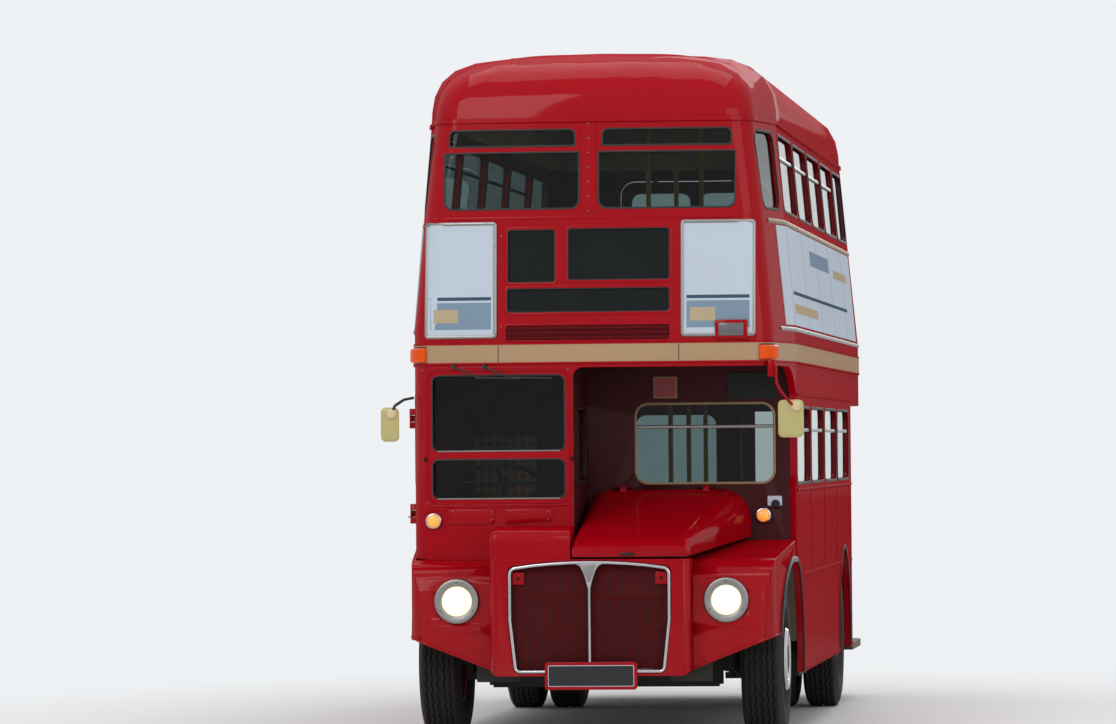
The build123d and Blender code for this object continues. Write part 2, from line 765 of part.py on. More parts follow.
def advert_panels():
    """Blank display panels on the front and sides."""
    skin = body_shell(DECK_SPLIT_Z, CANTRAIL_Z, -5, 5)
    panels = [skin & front_cutters(FRONT_ADVERTS, FRONT_REACH, FRONT_Y + 200)]
    for side in (1, -1):
        x0, x1 = sorted((side * SIDE_INSIDE, side * SIDE_OUTSIDE))
        area = rounded_prism_x(x0, x1, FRONT_Y + 560, REAR_CORNER_Y - 120, 2625, 3255, 10)
        panels.append(skin & area)
    return union(panels)


# Front end


GRILLE_TOP_X = 510
GRILLE_LOW_X = 478
GRILLE_LOW = 455
GRILLE_SIDE_TOP = 1125
GRILLE_CROWN = 1158
FRAME_BAR = 24
COWL_X = 628
COWL_TOP = 1165
COWL_LOW = 440
COWL_DEPTH = NOSE_PROJECTION - 2
COWL_SHELL = 16
STEP_TOP = 1366
PLATE_DEPTH = 12
PLATE_RIM = 22
FRONT_PLATE = Opening(-279, 297, 356, 528, 20)


def grille_outline(inset):
    """Outline of the grille seen from ahead: narrower below, crowned on top."""
    top_x, low_x = GRILLE_TOP_X - inset, GRILLE_LOW_X - inset
    low, side, crown = GRILLE_LOW + inset, GRILLE_SIDE_TOP - inset, GRILLE_CROWN - inset
    r = 40 - inset * 0.6
    knee = (side - low) * 0.5
    edges = [
        Line((-low_x + r, low), (low_x - r, low)),
        RadiusArc((low_x - r, low), (low_x, low + r), -r * 1.02),
        Line((low_x, low + r), (top_x, low + knee)),
        Line((top_x, low + knee), (top_x, side - r)),
        RadiusArc((top_x, side - r), (top_x - r, side), -r * 1.02),
        ThreePointArc((top_x - r, side), (0, crown), (-top_x + r, side)),
        RadiusArc((-top_x + r, side), (-top_x, side - r), -r * 1.02),
        Line((-top_x, side - r), (-top_x, low + knee)),
        Line((-top_x, low + knee), (-low_x, low + r)),
        RadiusArc((-low_x, low + r), (-low_x + r, low), -r * 1.02),
    ]
    return make_face(edges)


def grille_prism(inset, y0, y1):
    """A prism along Y with the grille's outline."""
    return extrude(Plane.XZ.offset(-y0) * grille_outline(inset), -(y1 - y0))


def cowl_solid(inset):
    """The nose around the grille, and the step in front of the cab."""
    y0, y1 = NOSE_Y + 14 + inset, NOSE_Y + COWL_DEPTH
    body = box(-COWL_X + inset, COWL_X - inset, y0, y1, COWL_LOW + inset, COWL_TOP - inset)
    fronts = body.faces().sort_by(Axis.Y)[0].edges()
    upright = body.edges().filter_by(Axis.Y).sort_by(Axis.Z)[:2]
    body = fillet(list(fronts.filter_by(Axis.Z)) + list(upright), 60)
    step = box(-COWL_X + inset, CAB_INNER_X - inset, y0 + 10, y1, COWL_TOP - 60, STEP_TOP - inset)
    step = fillet(step.faces().sort_by(Axis.Z)[-1].edges().filter_by(Axis.X).sort_by(Axis.Y)[0], 90)
    step = fillet([e for e in step.edges() if e.center().X < -COWL_X + inset + 1
                   and e.center().Z > COWL_TOP], 45)
    return body + step


def nose_cowl():
    """Red cowl around the radiator grille, with the step in front of the cab."""
    shell = cowl_solid(0) - cowl_solid(COWL_SHELL)
    shell = shell - box(-COWL_X + COWL_SHELL, COWL_X - COWL_SHELL, NOSE_Y + 90,
                        NOSE_Y + COWL_DEPTH + 10, COWL_LOW + 80, COWL_TOP - COWL_SHELL)
    shell = shell - box(-COWL_X + COWL_SHELL, CAB_INNER_X - COWL_SHELL, NOSE_Y + 120,
                        NOSE_Y + COWL_DEPTH + 10, COWL_TOP - 60, STEP_TOP - COWL_SHELL)
    shell = shell - grille_prism(0, NOSE_Y - 50, NOSE_Y + 120)
    return shell - wing_solid(1, -SEAM) - wing_solid(-1, -SEAM)


def grille_frame():
    """Bright frame of the grille with its centre bar and plain top shield."""
    front = NOSE_Y + PLATE_DEPTH
    frame = grille_prism(0, front, NOSE_Y + 60) - grille_prism(FRAME_BAR, NOSE_Y - 10, NOSE_Y + 80)
    bar = box(-10, 10, front + 4, NOSE_Y + 40, GRILLE_LOW + 10, GRILLE_CROWN - 40)
    shield_points = [(-62, GRILLE_CROWN - 12), (62, GRILLE_CROWN - 12), (9, GRILLE_CROWN - 150),
                     (-9, GRILLE_CROWN - 150)]
    shield = extrude(Plane.XZ.offset(-(front + 1)) * make_face(Polyline(shield_points, close=True)),
                     -30)
    return frame + bar + shield


def number_plate():
    """Blank front plate in its surround, hung over the foot of the grille."""
    o = FRONT_PLATE
    surround = rounded_prism_y(o.low, o.high, NOSE_Y + 2, NOSE_Y + PLATE_DEPTH - 0.5, o.bottom, o.top,
                               o.radius)
    plate = rounded_prism_y(o.low + PLATE_RIM, o.high - PLATE_RIM, NOSE_Y, NOSE_Y + 2, o.bottom + PLATE_RIM,
                            o.top - PLATE_RIM, 8)
    bracket = box(-150, 150, NOSE_Y + PLATE_DEPTH - 0.5, NOSE_Y + 90, o.bottom + 20, GRILLE_LOW - 16)
    return union([surround, plate, bracket])


def grille_mesh():
    """Fine upright bars behind the frame, on cross rails."""
    bars = []
    count = 42
    width = 2 * (GRILLE_TOP_X - FRAME_BAR + 4)
    pitch = width / count
    for k in range(count):
        x = -width / 2 + pitch * (k + 0.5)
        bars.append(box(x - pitch * 0.28, x + pitch * 0.28, NOSE_Y + 62, NOSE_Y + 74,
                        GRILLE_LOW + 4, GRILLE_SIDE_TOP))
    rails = [box(-width / 2, width / 2, NOSE_Y + 74, NOSE_Y + 84, z, z + 18)
             for z in (GRILLE_LOW + 40, 700, 930, GRILLE_SIDE_TOP - 30)]
    return union(rails + bars)


class BonnetRow(NamedTuple):
    """One cross-section of the bonnet lid."""

    y: float
    outer_x: float
    low: float
    top: float
    inner_radius: float
    outer_radius: float


BONNET_X0 = CAB_INNER_X + 12
BONNET_ROWS = [
    BonnetRow(NOSE_Y + 22, 612, 1176, 1240, 20, 30),
    BonnetRow(NOSE_Y + 105, 628, 1182, BONNET_FRONT_Z, 45, 60),
    BonnetRow(BULKHEAD_Y - 14, 925, 1282, BONNET_REAR_Z, 130, 190),
]
BONNET_SHEET = 14


def bonnet_section(row, inset, grow_y=0):
    """Face of the bonnet at one station."""
    x0, x1 = BONNET_X0 + inset, row.outer_x - inset
    low, top = row.low - (1 if inset else 0), row.top - inset
    r0, r1 = row.inner_radius, row.outer_radius
    corner = 1 - math.sqrt(0.5)
    edges = [
        Line((x0, low), (x1, low)),
        Line((x1, low), (x1, top - r1)),
        ThreePointArc((x1, top - r1), (x1 - r1 * corner, top - r1 * corner), (x1 - r1, top)),
        Line((x1 - r1, top), (x0 + r0, top)),
        ThreePointArc((x0 + r0, top), (x0 + r0 * corner, top - r0 * corner), (x0, top - r0)),
        Line((x0, top - r0), (x0, low)),
    ]
    return Plane.XZ.offset(-(row.y + grow_y)) * make_face(edges)


def bonnet():
    """Sloping bonnet lid that widens to the rear, open below, with a rolled front."""
    outer = loft([bonnet_section(row, 0) for row in BONNET_ROWS], ruled=True)
    inner_y = (BONNET_SHEET, BONNET_SHEET / 2, -BONNET_SHEET)
    inner = loft([bonnet_section(row, BONNET_SHEET, y) for row, y in zip(BONNET_ROWS, inner_y)],
                 ruled=True)
    knuckles = [hinge((x, BONNET_HINGE_Y, BONNET_HINGE_Z), [(-45, -2, -30, -4)], False)
                for x in BONNET_HINGE_X]
    return union([outer - inner] + knuckles)


WING_FRONT_Y = FRONT_Y - 165
WING_INNER_X = COWL_X + 2
WING_SHEET = 16
WING_INNER_LOW = 472
WING_OUTER_LOW = 705


def wing_profile(inset):
    """Side outline of a front wing."""
    rear = BULKHEAD_Y - 2
    points = [(rear, SKIRT_Z - 10), (WING_FRONT_Y + 60 + inset, SKIRT_Z - 10),
              (WING_FRONT_Y + inset, 760), (WING_FRONT_Y + 45 + inset, 1040),
              (WING_FRONT_Y + 100 + inset * 0.7, 1120 - inset * 0.7),
              (WING_FRONT_Y + 185 + inset * 0.3, 1158 - inset), (rear, 1262 - inset)]
    return make_face([
        Line(points[0], points[1]),
        ThreePointArc(points[1], points[2], points[3]),
        ThreePointArc(points[3], points[4], points[5]),
        Line(points[5], points[6]),
        Line(points[6], points[0]),
    ])


def wing_plan(inset):
    """Plan of a front wing, tapering to the front like the body."""
    rear = BULKHEAD_Y - 1
    outer_rear = WIDTH / 2 - 8 - inset
    outer_front = 1142 - inset
    front = WING_FRONT_Y - 10 + inset
    r = 160 - inset
    corner = r * (1 - math.sqrt(0.5))
    return make_face([
        Line((WING_INNER_X, rear), (outer_rear, rear)),
        Line((outer_rear, rear), (outer_front, front + r)),
        ThreePointArc((outer_front, front + r), (outer_front - corner, front + corner),
                      (outer_front - r, front)),
        Line((outer_front - r, front), (WING_INNER_X, front)),
        Line((WING_INNER_X, front), (WING_INNER_X, rear)),
    ])


def wing_solid(side, inset):
    """Outer form of a front wing, moved in by an inset."""
    profile = extrude(Plane.YZ.offset(WING_INNER_X) * wing_profile(inset), WIDTH / 2)
    plan = extrude(wing_plan(inset), BIG)
    solid = profile & plan
    return solid if side > 0 else mirror_x(solid)


def front_wing(side):
    """Front wing over the steered wheel, hollow behind its skin."""
    hollow = wing_solid(1, WING_SHEET) + box(
        WING_INNER_X - 1, WIDTH / 2 - 8 - WING_SHEET, BULKHEAD_Y - 30, BULKHEAD_Y + 10, 0, 1240)
    solid = wing_solid(1, 0) - hollow - wheel_arch(FRONT_AXLE_Y, ARCH_RADIUS)
    x0, x1 = WING_INNER_X, WIDTH / 2
    slope = Polyline([(x1, WING_OUTER_LOW), (x0, WING_INNER_LOW), (x0, 100), (x1, 100)], close=True)
    cut = extrude(Plane.XZ.offset(-(WING_FRONT_Y - 50)) * make_face(slope), -700)
    lamp_hole = Pos(HEADLAMP_X, WING_FRONT_Y, HEADLAMP_Z) * Rot(90, 0, 0) * Cylinder(
        HEADLAMP_RADIUS + 0.5, 300)
    solid = solid - cut - lamp_hole
    if side > 0:
        return solid
    footwell = box(WING_INNER_X - 10, CAB_FLOOR_X + 1, FRONT_Y + WALL, BULKHEAD_Y + 10,
                   CAB_FLOOR_Z - 1, BIG)
    return mirror_x(solid - footwell)


HEADLAMP_X = 842
HEADLAMP_RADIUS = 137
HEADLAMP_Z = 905


def headlamps():
    """Headlamp bodies with bright rims."""
    lamps = []
    for side in (1, -1):
        at = Pos(side * HEADLAMP_X, WING_FRONT_Y - 2, HEADLAMP_Z) * Rot(90, 0, 0)
        bowl = at * Pos(0, 0, -8) * Cylinder(HEADLAMP_RADIUS, 44)
        lens = at * Pos(0, 0, 14) * Cylinder(96, 10)
        lamps.append(bowl + lens)
    return union(lamps)


def small_lamps():
    """Side lamps and rear lamps."""
    turn = Rot(90, 0, 0)
    cab = Pos(CAB_LAMP_X, FRONT_Y + FRONT_BOW - 6, SIDE_LAMP_Z) * turn * Cylinder(LAMP_RADIUS, 50)
    nearside = Pos(1004, BULKHEAD_Y - 15, SIDE_LAMP_Z + 12) * turn * Cylinder(LAMP_RADIUS, 30)
    rear = [Pos(x, REAR_Y - 2, REAR_LAMP_Z) * turn * Cylinder(LAMP_RADIUS, 30) for x in REAR_LAMPS_X]
    return group(cab, nearside, *rear)


# Chassis


EYE_Y = NOSE_Y + 200
EYE_Z = 395
EYE_WIDTH = 75
EYE_RADIUS = 16


def underframe():
    """Two long rails with cross members, outriggers, the tank, the battery box and towing eye."""
    rails = [box(x - 40, x + 40, FRONT_Y + 60, PLATFORM_Y - 20, 440, 585) for x in (-420, 420)]
    cross_y = [FRONT_Y + 120, -2400, -1200, 0, 1100, 2800]
    cross = [box(-460, 460, y - 35, y + 35, 470, 560) for y in cross_y]
    outriggers = [box(-1160, 1160, y - 25, y + 25, 520, LOWER_FLOOR_Z - FLOOR)
                  for y in (-2000, -600, 700)]
    tongue = box(-EYE_WIDTH / 2, EYE_WIDTH / 2, EYE_Y - 45, FRONT_Y + 160, EYE_Z - 42, EYE_Z + 35)
    arm = box(-EYE_WIDTH / 2, EYE_WIDTH / 2, FRONT_Y + 70, FRONT_Y + 160, EYE_Z, 545)
    eye = tongue + arm - Pos(0, EYE_Y, EYE_Z) * Rot(0, 90, 0) * Cylinder(EYE_RADIUS, 200)
    tank_straps = [box(-1000, -420, y - 20, y + 20, 575, LOWER_FLOOR_Z - FLOOR)
                   for y in (-900, 200)]
    box_straps = [box(420, 1000, y - 20, y + 20, 575, LOWER_FLOOR_Z - FLOOR)
                  for y in (-1400, -800)]
    frame = union(rails + cross + outriggers + [eye] + tank_straps + box_straps)
    frame = frame - box(-BIG, BIG, REAR_AXLE_Y - 60, REAR_AXLE_Y + 60, 0, 560)
    return frame + fuel_tank() + battery_box()


def engine():
    """Engine and gearbox as one plain block, and the radiator core."""
    block = box(-80, 520, NOSE_Y + COWL_DEPTH + 5, BULKHEAD_Y - 60, 590, 1140)
    core = box(-480, 480, NOSE_Y + 130, NOSE_Y + 230, 550, 1120)
    return Compound([block.solids()[0], core.solids()[0]])


def fuel_tank():
    """Fuel tank under the offside floor."""
    tank = box(-1120, -640, -1000, 300, 330, 590)
    return fillet(tank.edges().filter_by(Axis.Y), 60)


def battery_box():
    """Battery box under the nearside floor."""
    return box(700, 1120, -1500, -700, 340, 590)


# Wheels, columns: section radius from the axle and half width
FRONT_WHEEL_X = 1020
FRONT_TYRE_WIDTH = 262
REAR_WHEEL_X = 912
REAR_TYRE_WIDTH = 250
TWIN_GAP = 46
RIM_RADIUS = 262


def tyre(center_x, y, width):
    """A tyre turned about the axle's line."""
    half = width / 2
    r0, r1 = RIM_RADIUS, TYRE_RADIUS
    points = [(r0, -half * 0.62), (r0 + 18, -half * 0.62), (r0 + 70, -half * 0.95),
              (r0 + 125, -half), (r1 - 45, -half * 0.93),
              (r1 - 8, -half * 0.76), (r1, -half * 0.55)]
    points += [(r, -x) for r, x in reversed(points)]
    face = make_face(Polyline(points, close=True))
    ring = revolve(Plane.XY * face, Axis.Y, 360)
    return Pos(center_x, y, WHEEL_Z) * Rot(0, 0, 90) * ring


BEARING_RADIUS = 40
BEARING_CLEARANCE = 0.05


def place_wheel(shape, center_x, y, side):
    """Turn a shape made about Y so that its outer face, +Y, looks outwards."""
    turn = Rot(0, 0, -90) if side > 0 else Rot(0, 0, 90)
    return Pos(center_x, y, WHEEL_Z) * turn * shape


def rim(width):
    """Half section of a steel rim, from its flange to the well."""
    half = width / 2 * 0.62
    r = RIM_RADIUS - 0.5
    points = [(r - 12, -half - 14), (r + 14, -half - 14), (r + 14, -half - 0.5),
              (r, -half - 0.5), (r, half + 0.5), (r + 14, half + 0.5), (r + 14, half + 14),
              (r - 12, half + 14)]
    return revolve(make_face(Polyline(points, close=True)), Axis.Y, 360)


def disc(stations, thickness):
    """A pressed wheel disc through (radius, out) stations."""
    near = [(r, out) for r, out in stations]
    far = [(r, out - thickness) for r, out in reversed(stations)]
    return revolve(make_face(Polyline(near + far, close=True)), Axis.Y, 360)


def bored(shape):
    """A wheel with its bearing bored to run on the axle."""
    bore = Rot(90, 0, 0) * Cylinder(BEARING_RADIUS + BEARING_CLEARANCE, 2000)
    return shape - bore


NUT_RING_RADIUS = 196


def front_wheel(side):
    """Front wheel: rim, dished disc, hub and the bright guard ring over its nuts."""
    half = FRONT_TYRE_WIDTH / 2
    plate = disc([(60, half - 60), (150, half - 60), (185, half - 76), (RIM_RADIUS - 8, half - 70)], 14)
    hub = Rot(90, 0, 0) * Pos(0, 0, -(half - 70)) * Cylinder(92, 150)
    ring = disc([(128, half - 4), (138, half + 10), (186, half + 10), (NUT_RING_RADIUS, half - 4)], 8)
    posts = [Rot(0, a, 0) * Pos(162, half - 32, 0) * Rot(90, 0, 0) * Cylinder(8, 66)
             for a in range(0, 360, 45)]
    wheel = union([rim(FRONT_TYRE_WIDTH), plate, hub, ring] + posts)
    return place_wheel(bored(wheel), side * FRONT_WHEEL_X, FRONT_AXLE_Y, side)


def rear_wheels(side):
    """Twin rear wheels: two rims on one drum with a dished outer disc and a hub."""
    gap = (REAR_TYRE_WIDTH + TWIN_GAP) / 2
    drum = Rot(90, 0, 0) * Cylinder(210, 2 * gap + 20)
    plates = [disc([(60, out), (RIM_RADIUS - 8, out)], 14) for out in (-gap + 20, gap - 6)]
    hub = Rot(90, 0, 0) * Pos(0, 0, -gap) * Cylinder(110, 170)
    rims = [Pos(0, s * gap, 0) * rim(REAR_TYRE_WIDTH) for s in (1, -1)]
    wheel = union([drum, hub] + plates + rims)
    return place_wheel(bored(wheel), side * REAR_WHEEL_X, REAR_AXLE_Y, side)


def rear_tyres(side):
    """Twin rear tyres."""
    gap = (REAR_TYRE_WIDTH + TWIN_GAP) / 2
    return group(*[tyre(side * REAR_WHEEL_X + s * gap, REAR_AXLE_Y, REAR_TYRE_WIDTH)
                   for s in (1, -1)])


KINGPIN_X = 800


def front_axle():
    """Beam axle with kingpin eyes at its ends."""
    beam = box(-KINGPIN_X + 80, KINGPIN_X - 80, FRONT_AXLE_Y - 45, FRONT_AXLE_Y + 45, 335, 430)
    eyes = [Pos(s * KINGPIN_X, FRONT_AXLE_Y, 490) * Cylinder(48, 120) for s in (1, -1)]
    links = [box(*sorted((s * (KINGPIN_X - 150), s * (KINGPIN_X - 55))), FRONT_AXLE_Y - 40,
                 FRONT_AXLE_Y + 40, 350, 530) for s in (1, -1)]
    links += [box(*sorted((s * (KINGPIN_X - 60), s * (KINGPIN_X - 30))), FRONT_AXLE_Y - 30,
                  FRONT_AXLE_Y + 30, 435, 530) for s in (1, -1)]
    links += [box(s * 420 - 40, s * 420 + 40, FRONT_AXLE_Y - 40, FRONT_AXLE_Y + 40, 425, 440)
              for s in (1, -1)]
    axle = union([beam] + eyes + links)
    for s in (1, -1):
        axle = axle - Pos(s * KINGPIN_X, FRONT_AXLE_Y, 490) * Cylinder(20.05, 300)
    return axle


def knuckle(side):
    """Stub axle that turns on its kingpin and carries a front wheel."""
    x = side * KINGPIN_X
    pin = Pos(x, FRONT_AXLE_Y, 490) * Cylinder(20, 190)
    top = Pos(x, FRONT_AXLE_Y, 575) * Cylinder(42, 40)
    bottom = Pos(x, FRONT_AXLE_Y, 405) * Cylinder(42, 40)
    web = box(*sorted((x + side * 62, x + side * 95)), FRONT_AXLE_Y - 40, FRONT_AXLE_Y + 40, 385, 595)
    top_arm = box(*sorted((x, x + side * 80)), FRONT_AXLE_Y - 35, FRONT_AXLE_Y + 35, 556, 595)
    low_arm = box(*sorted((x, x + side * 80)), FRONT_AXLE_Y - 35, FRONT_AXLE_Y + 35, 385, 424)
    stub_end = side * (FRONT_WHEEL_X + FRONT_TYRE_WIDTH / 2 - 10)
    stub = rod((x + side * 80, FRONT_AXLE_Y, WHEEL_Z), (stub_end, FRONT_AXLE_Y, WHEEL_Z),
               BEARING_RADIUS)
    return union([pin, top, bottom, web, top_arm, low_arm, stub])


def rear_axle():
    """Rear axle case with its differential."""
    reach = REAR_WHEEL_X + REAR_TYRE_WIDTH
    tube = rod((-reach, REAR_AXLE_Y, WHEEL_Z), (reach, REAR_AXLE_Y, WHEEL_Z), BEARING_RADIUS)
    centre = Pos(0, REAR_AXLE_Y, WHEEL_Z - 60) * Rot(90, 0, 0) * Cylinder(138, 230)
    pads = [box(s * 420 - 40, s * 420 + 40, REAR_AXLE_Y - 30, REAR_AXLE_Y + 30, WHEEL_Z, 560)
            for s in (1, -1)]
    return union([tube, centre] + pads)


# Saloon fittings


SEAT_WIDTH = 860
SEAT_DEPTH = 410
SEAT_HEIGHT = 430
BACK_HEIGHT = 880
CUSHION = 90
SEAT_PITCH = 710


def double_seat(x0, y, floor_z):
    """Frame of a double seat: pedestal, pan and back panel, facing the front."""
    x1 = x0 + SEAT_WIDTH
    pan = box(x0, x1, y, y + SEAT_DEPTH, floor_z + SEAT_HEIGHT - CUSHION - 25,
              floor_z + SEAT_HEIGHT - CUSHION)
    legs = [box(x - 20, x + 20, y + 60, y + SEAT_DEPTH, floor_z, floor_z + SEAT_HEIGHT - CUSHION - 20)
            for x in (x0 + 60, x1 - 60)]
    back = box(x0, x1, y + SEAT_DEPTH, y + SEAT_DEPTH + 22,
               floor_z + SEAT_HEIGHT - CUSHION - 25, floor_z + BACK_HEIGHT)
    rail = rod((x0, y + SEAT_DEPTH + 11, floor_z + BACK_HEIGHT + 8),
               (x1, y + SEAT_DEPTH + 11, floor_z + BACK_HEIGHT + 8), 14)
    return union([pan, back, rail] + legs)


def seat_cushions(x0, y, floor_z):
    """Squab and back cushion of a double seat."""
    x1 = x0 + SEAT_WIDTH
    base = floor_z + SEAT_HEIGHT - CUSHION
    squab = box(x0 + 6, x1 - 6, y - 15, y + SEAT_DEPTH - 66, base + 0.5, base + CUSHION)
    back = box(x0 + 6, x1 - 6, y + SEAT_DEPTH - 60, y + SEAT_DEPTH - 0.5, base + 0.5,
               floor_z + BACK_HEIGHT - 20)
    return squab + back


SIDE_CLEAR = 12
LOWER_SEAT_X = WIDTH / 2 - WALL - SIDE_CLEAR - SEAT_WIDTH
UPPER_SEAT_X = section_at(UPPER_FLOOR_Z + BACK_HEIGHT + 30).half_width - WALL - SIDE_CLEAR - SEAT_WIDTH
LOWER_ROWS = [BULKHEAD_Y + 620 + SEAT_PITCH * k for k in range(5)]
UPPER_ROWS = [FRONT_Y + 560 + SEAT_PITCH * k for k in range(9)]
UPPER_ROWS_OFFSIDE = UPPER_ROWS[:7]


def seat_places(deck):
    """Left corner, place and floor of each double seat on a deck."""
    places = []
    if deck == "lower":
        for y in LOWER_ROWS:
            places.append((LOWER_SEAT_X, y, LOWER_FLOOR_Z))
            places.append((-LOWER_SEAT_X - SEAT_WIDTH, y, LOWER_FLOOR_Z))
        return places
    for y in UPPER_ROWS:
        places.append((UPPER_SEAT_X, y, UPPER_FLOOR_Z))
    for y in UPPER_ROWS_OFFSIDE:
        places.append((-UPPER_SEAT_X - SEAT_WIDTH, y, UPPER_FLOOR_Z))
    return places


def seat_frames(deck):
    """All the double seats' frames on a deck."""
    return Compound([double_seat(*place) for place in seat_places(deck)])


def cushions(deck):
    """All the double seats' cushions on a deck."""
    solids = []
    for place in seat_places(deck):
        solids += seat_cushions(*place).solids()
    return Compound(solids)


def bench_seats():
    """Long cushions over the rear wheel boxes."""
    solids = []
    for side in (1, -1):
        low, high = sorted((side * 600, side * (WIDTH / 2 - WALL - 80)))
        solids.append(box(low, high, REAR_AXLE_Y - 560, REAR_AXLE_Y + 560, 1151, 1230))
        low, high = sorted((side * (WIDTH / 2 - WALL - 76), side * (WIDTH / 2 - WALL - 12)))
        solids.append(box(low, high, REAR_AXLE_Y - 560, REAR_AXLE_Y + 560, 1151, 1560))
    return Compound(solids)


POLE_RADIUS = 16
POLE_LOWER = [(-LOWER_SEAT_X - 20, y) for y in LOWER_ROWS[1::2]] + [
    (LOWER_SEAT_X + 20, y) for y in LOWER_ROWS[::2]]


def grab_poles():
    """Upright grab poles of both decks and of the platform."""
    poles = []
    for x, y in POLE_LOWER:
        poles.append(rod((x, y + SEAT_DEPTH + 46, LOWER_FLOOR_Z), (x, y + SEAT_DEPTH + 46,
                                                                  DECK_SPLIT_Z + 14), POLE_RADIUS))
    ceiling = ROOF_TOP_Z - ROOF_WALL - 1.5
    for y in UPPER_ROWS[1::3]:
        poles.append(rod((UPPER_SEAT_X - 22, y + SEAT_DEPTH + 46, UPPER_FLOOR_Z),
                         (UPPER_SEAT_X - 22, y + SEAT_DEPTH + 46, ceiling), POLE_RADIUS))
    poles.append(rod((REAR_PANEL_EDGE_X + 260, REAR_Y - 110, PLATFORM_Z),
                     (REAR_PANEL_EDGE_X + 260, REAR_Y - 110, DECK_SPLIT_Z + 14), POLE_RADIUS + 2))
    return Compound(poles)


# Staircase


STEP_COUNT = 9
STAIR_X0 = -1168
STAIR_X1 = -520


def staircase():
    """Winding stairs from the platform to the upper deck, with a solid inner string."""
    rise = (UPPER_FLOOR_Z - PLATFORM_Z) / STEP_COUNT
    straight = 6
    y_top = STAIRWELL[2]
    tread = 225
    parts = []
    for k in range(straight):
        step = STEP_COUNT - 1 - k
        z = PLATFORM_Z + rise * step
        y0 = y_top + tread * k
        parts.append(box(STAIR_X0, STAIR_X1, y0, y0 + tread + 20, z - 30, z))
        parts.append(box(STAIR_X0, STAIR_X1, y0 + tread, y0 + tread + 20, z - rise, z))
    y_turn = y_top + tread * straight
    turn_end = REAR_Y - WALL - 60
    z_turn = PLATFORM_Z + rise * 2
    parts.append(box(STAIR_X0, STAIR_X1, y_turn, turn_end - 150, z_turn - 30, z_turn))
    z_low = PLATFORM_Z + rise
    parts.append(box(STAIR_X1 - 260, STAIR_X1, y_turn, turn_end - 150, PLATFORM_Z, z_turn - 30))
    parts.append(box(STAIR_X1, STAIR_X1 + 260, y_turn + 20, turn_end, PLATFORM_Z, z_low))
    string_points = [(y_top, UPPER_FLOOR_Z - 260), (y_top, UPPER_FLOOR_Z - 15),
                     (y_turn + 20, z_turn + 130), (y_turn + 20, z_turn - 230)]
    string = extrude(Plane.YZ.offset(STAIR_X1) * make_face(Polyline(string_points, close=True)), 20)
    parts.append(string)
    return union(parts)


# Cab fittings


WHEEL_CENTRE = (-620, FRONT_Y + 420, 1640)
WHEEL_TILT = 28
STEERING_RADIUS = 250
DRIVER_Y = FRONT_Y + 520


def steering_place():
    """Frame of the steering wheel: its axis is local Z, pointing up at the driver."""
    return Pos(*WHEEL_CENTRE) * Rot(-WHEEL_TILT, 0, 0)


def steering_wheel():
    """Rim, spokes and hub of the steering wheel."""
    rim = Torus(STEERING_RADIUS, 15)
    hub = Cylinder(40, 46)
    spokes = [Rot(0, 0, a) * Pos((STEERING_RADIUS - 8) / 2, 0, 0) * Box(STEERING_RADIUS - 8, 24, 12)
              for a in (0, 90, 180, 270)]
    return steering_place() * union([rim, hub] + spokes)


def steering_column():
    """Column and pedal box below the steering wheel."""
    column = Pos(0, 0, -24 - 245) * Cylinder(28, 490)
    return steering_place() * column


def driver_seat_frame():
    """Pedestal and shell of the driver's seat."""
    x0, x1 = -860, -420
    pedestal = box(x0 + 90, x1 - 90, DRIVER_Y + 30, DRIVER_Y + 300, CAB_FLOOR_Z + 40, 1360)
    pan = box(x0, x1, DRIVER_Y - 30, DRIVER_Y + 335, 1360, 1380)
    return pedestal + pan


def driver_seat_cushions():
    """Squab and back of the driver's seat."""
    x0, x1 = -860, -420
    squab = box(x0, x1, DRIVER_Y - 30, DRIVER_Y + 255, 1380.5, 1470)
    back = box(x0, x1, DRIVER_Y + 260, DRIVER_Y + 325, 1380.5, 1960)
    return squab + back


# Outside fittings


def mirror_arms():
    """Arms and backs of the two driving mirrors."""
    offside_plate = rounded_prism_y(-1340, -1225, FRONT_Y + 55, FRONT_Y + 75, 1905, 2120, 25)
    offside_arm = rod((-1140, FRONT_Y + 118, 2180), (-1240, FRONT_Y + 66, 2090), 10)
    nearside_plate = rounded_prism_y(1160, 1320, FRONT_Y + 40, FRONT_Y + 60, 1910, 2145, 25)
    nearside_arm = union([
        rod((1118, FRONT_Y + 60, 2420), (1235, FRONT_Y - 20, 2400), 11),
        rod((1235, FRONT_Y - 20, 2405), (1235, FRONT_Y + 45, 2120), 11),
    ])
    return Compound((offside_plate + offside_arm).solids() + (nearside_plate + nearside_arm).solids())


WIPER_Z = 2371


def wipers():
    """The windscreen's two wipers."""
    y = FRONT_Y - 14
    parts = []
    for x in (-869, -679):
        spindle = Pos(x, FRONT_Y - 6, WIPER_Z) * Rot(90, 0, 0) * Cylinder(13, 30)
        arm = rod((x, y, WIPER_Z), (x + 165, y, WIPER_Z - 75), 5)
        blade = rod((x + 135, y + 6, WIPER_Z - 70), (x + 430, y + 6, WIPER_Z - 78), 6)
        parts.append(union([spindle, arm, blade]))
    return Compound(parts)


UPPER_LAMP_Z = ROOF_TOP_Z - 104


def ceiling_lamps():
    """Lamps along the ceilings of both decks."""
    lamps = []
    for x in (-620, 620):
        for k in range(4):
            y = PILLAR_Y[k] + BAY_PITCH / 2
            lamps.append(Pos(x, y, UPPER_LAMP_Z) * Sphere(40))
            lamps.append(Pos(x, y, DECK_SPLIT_Z - 6) * Cylinder(45, 38))
    return Compound([lamp.solids()[0] for lamp in lamps])


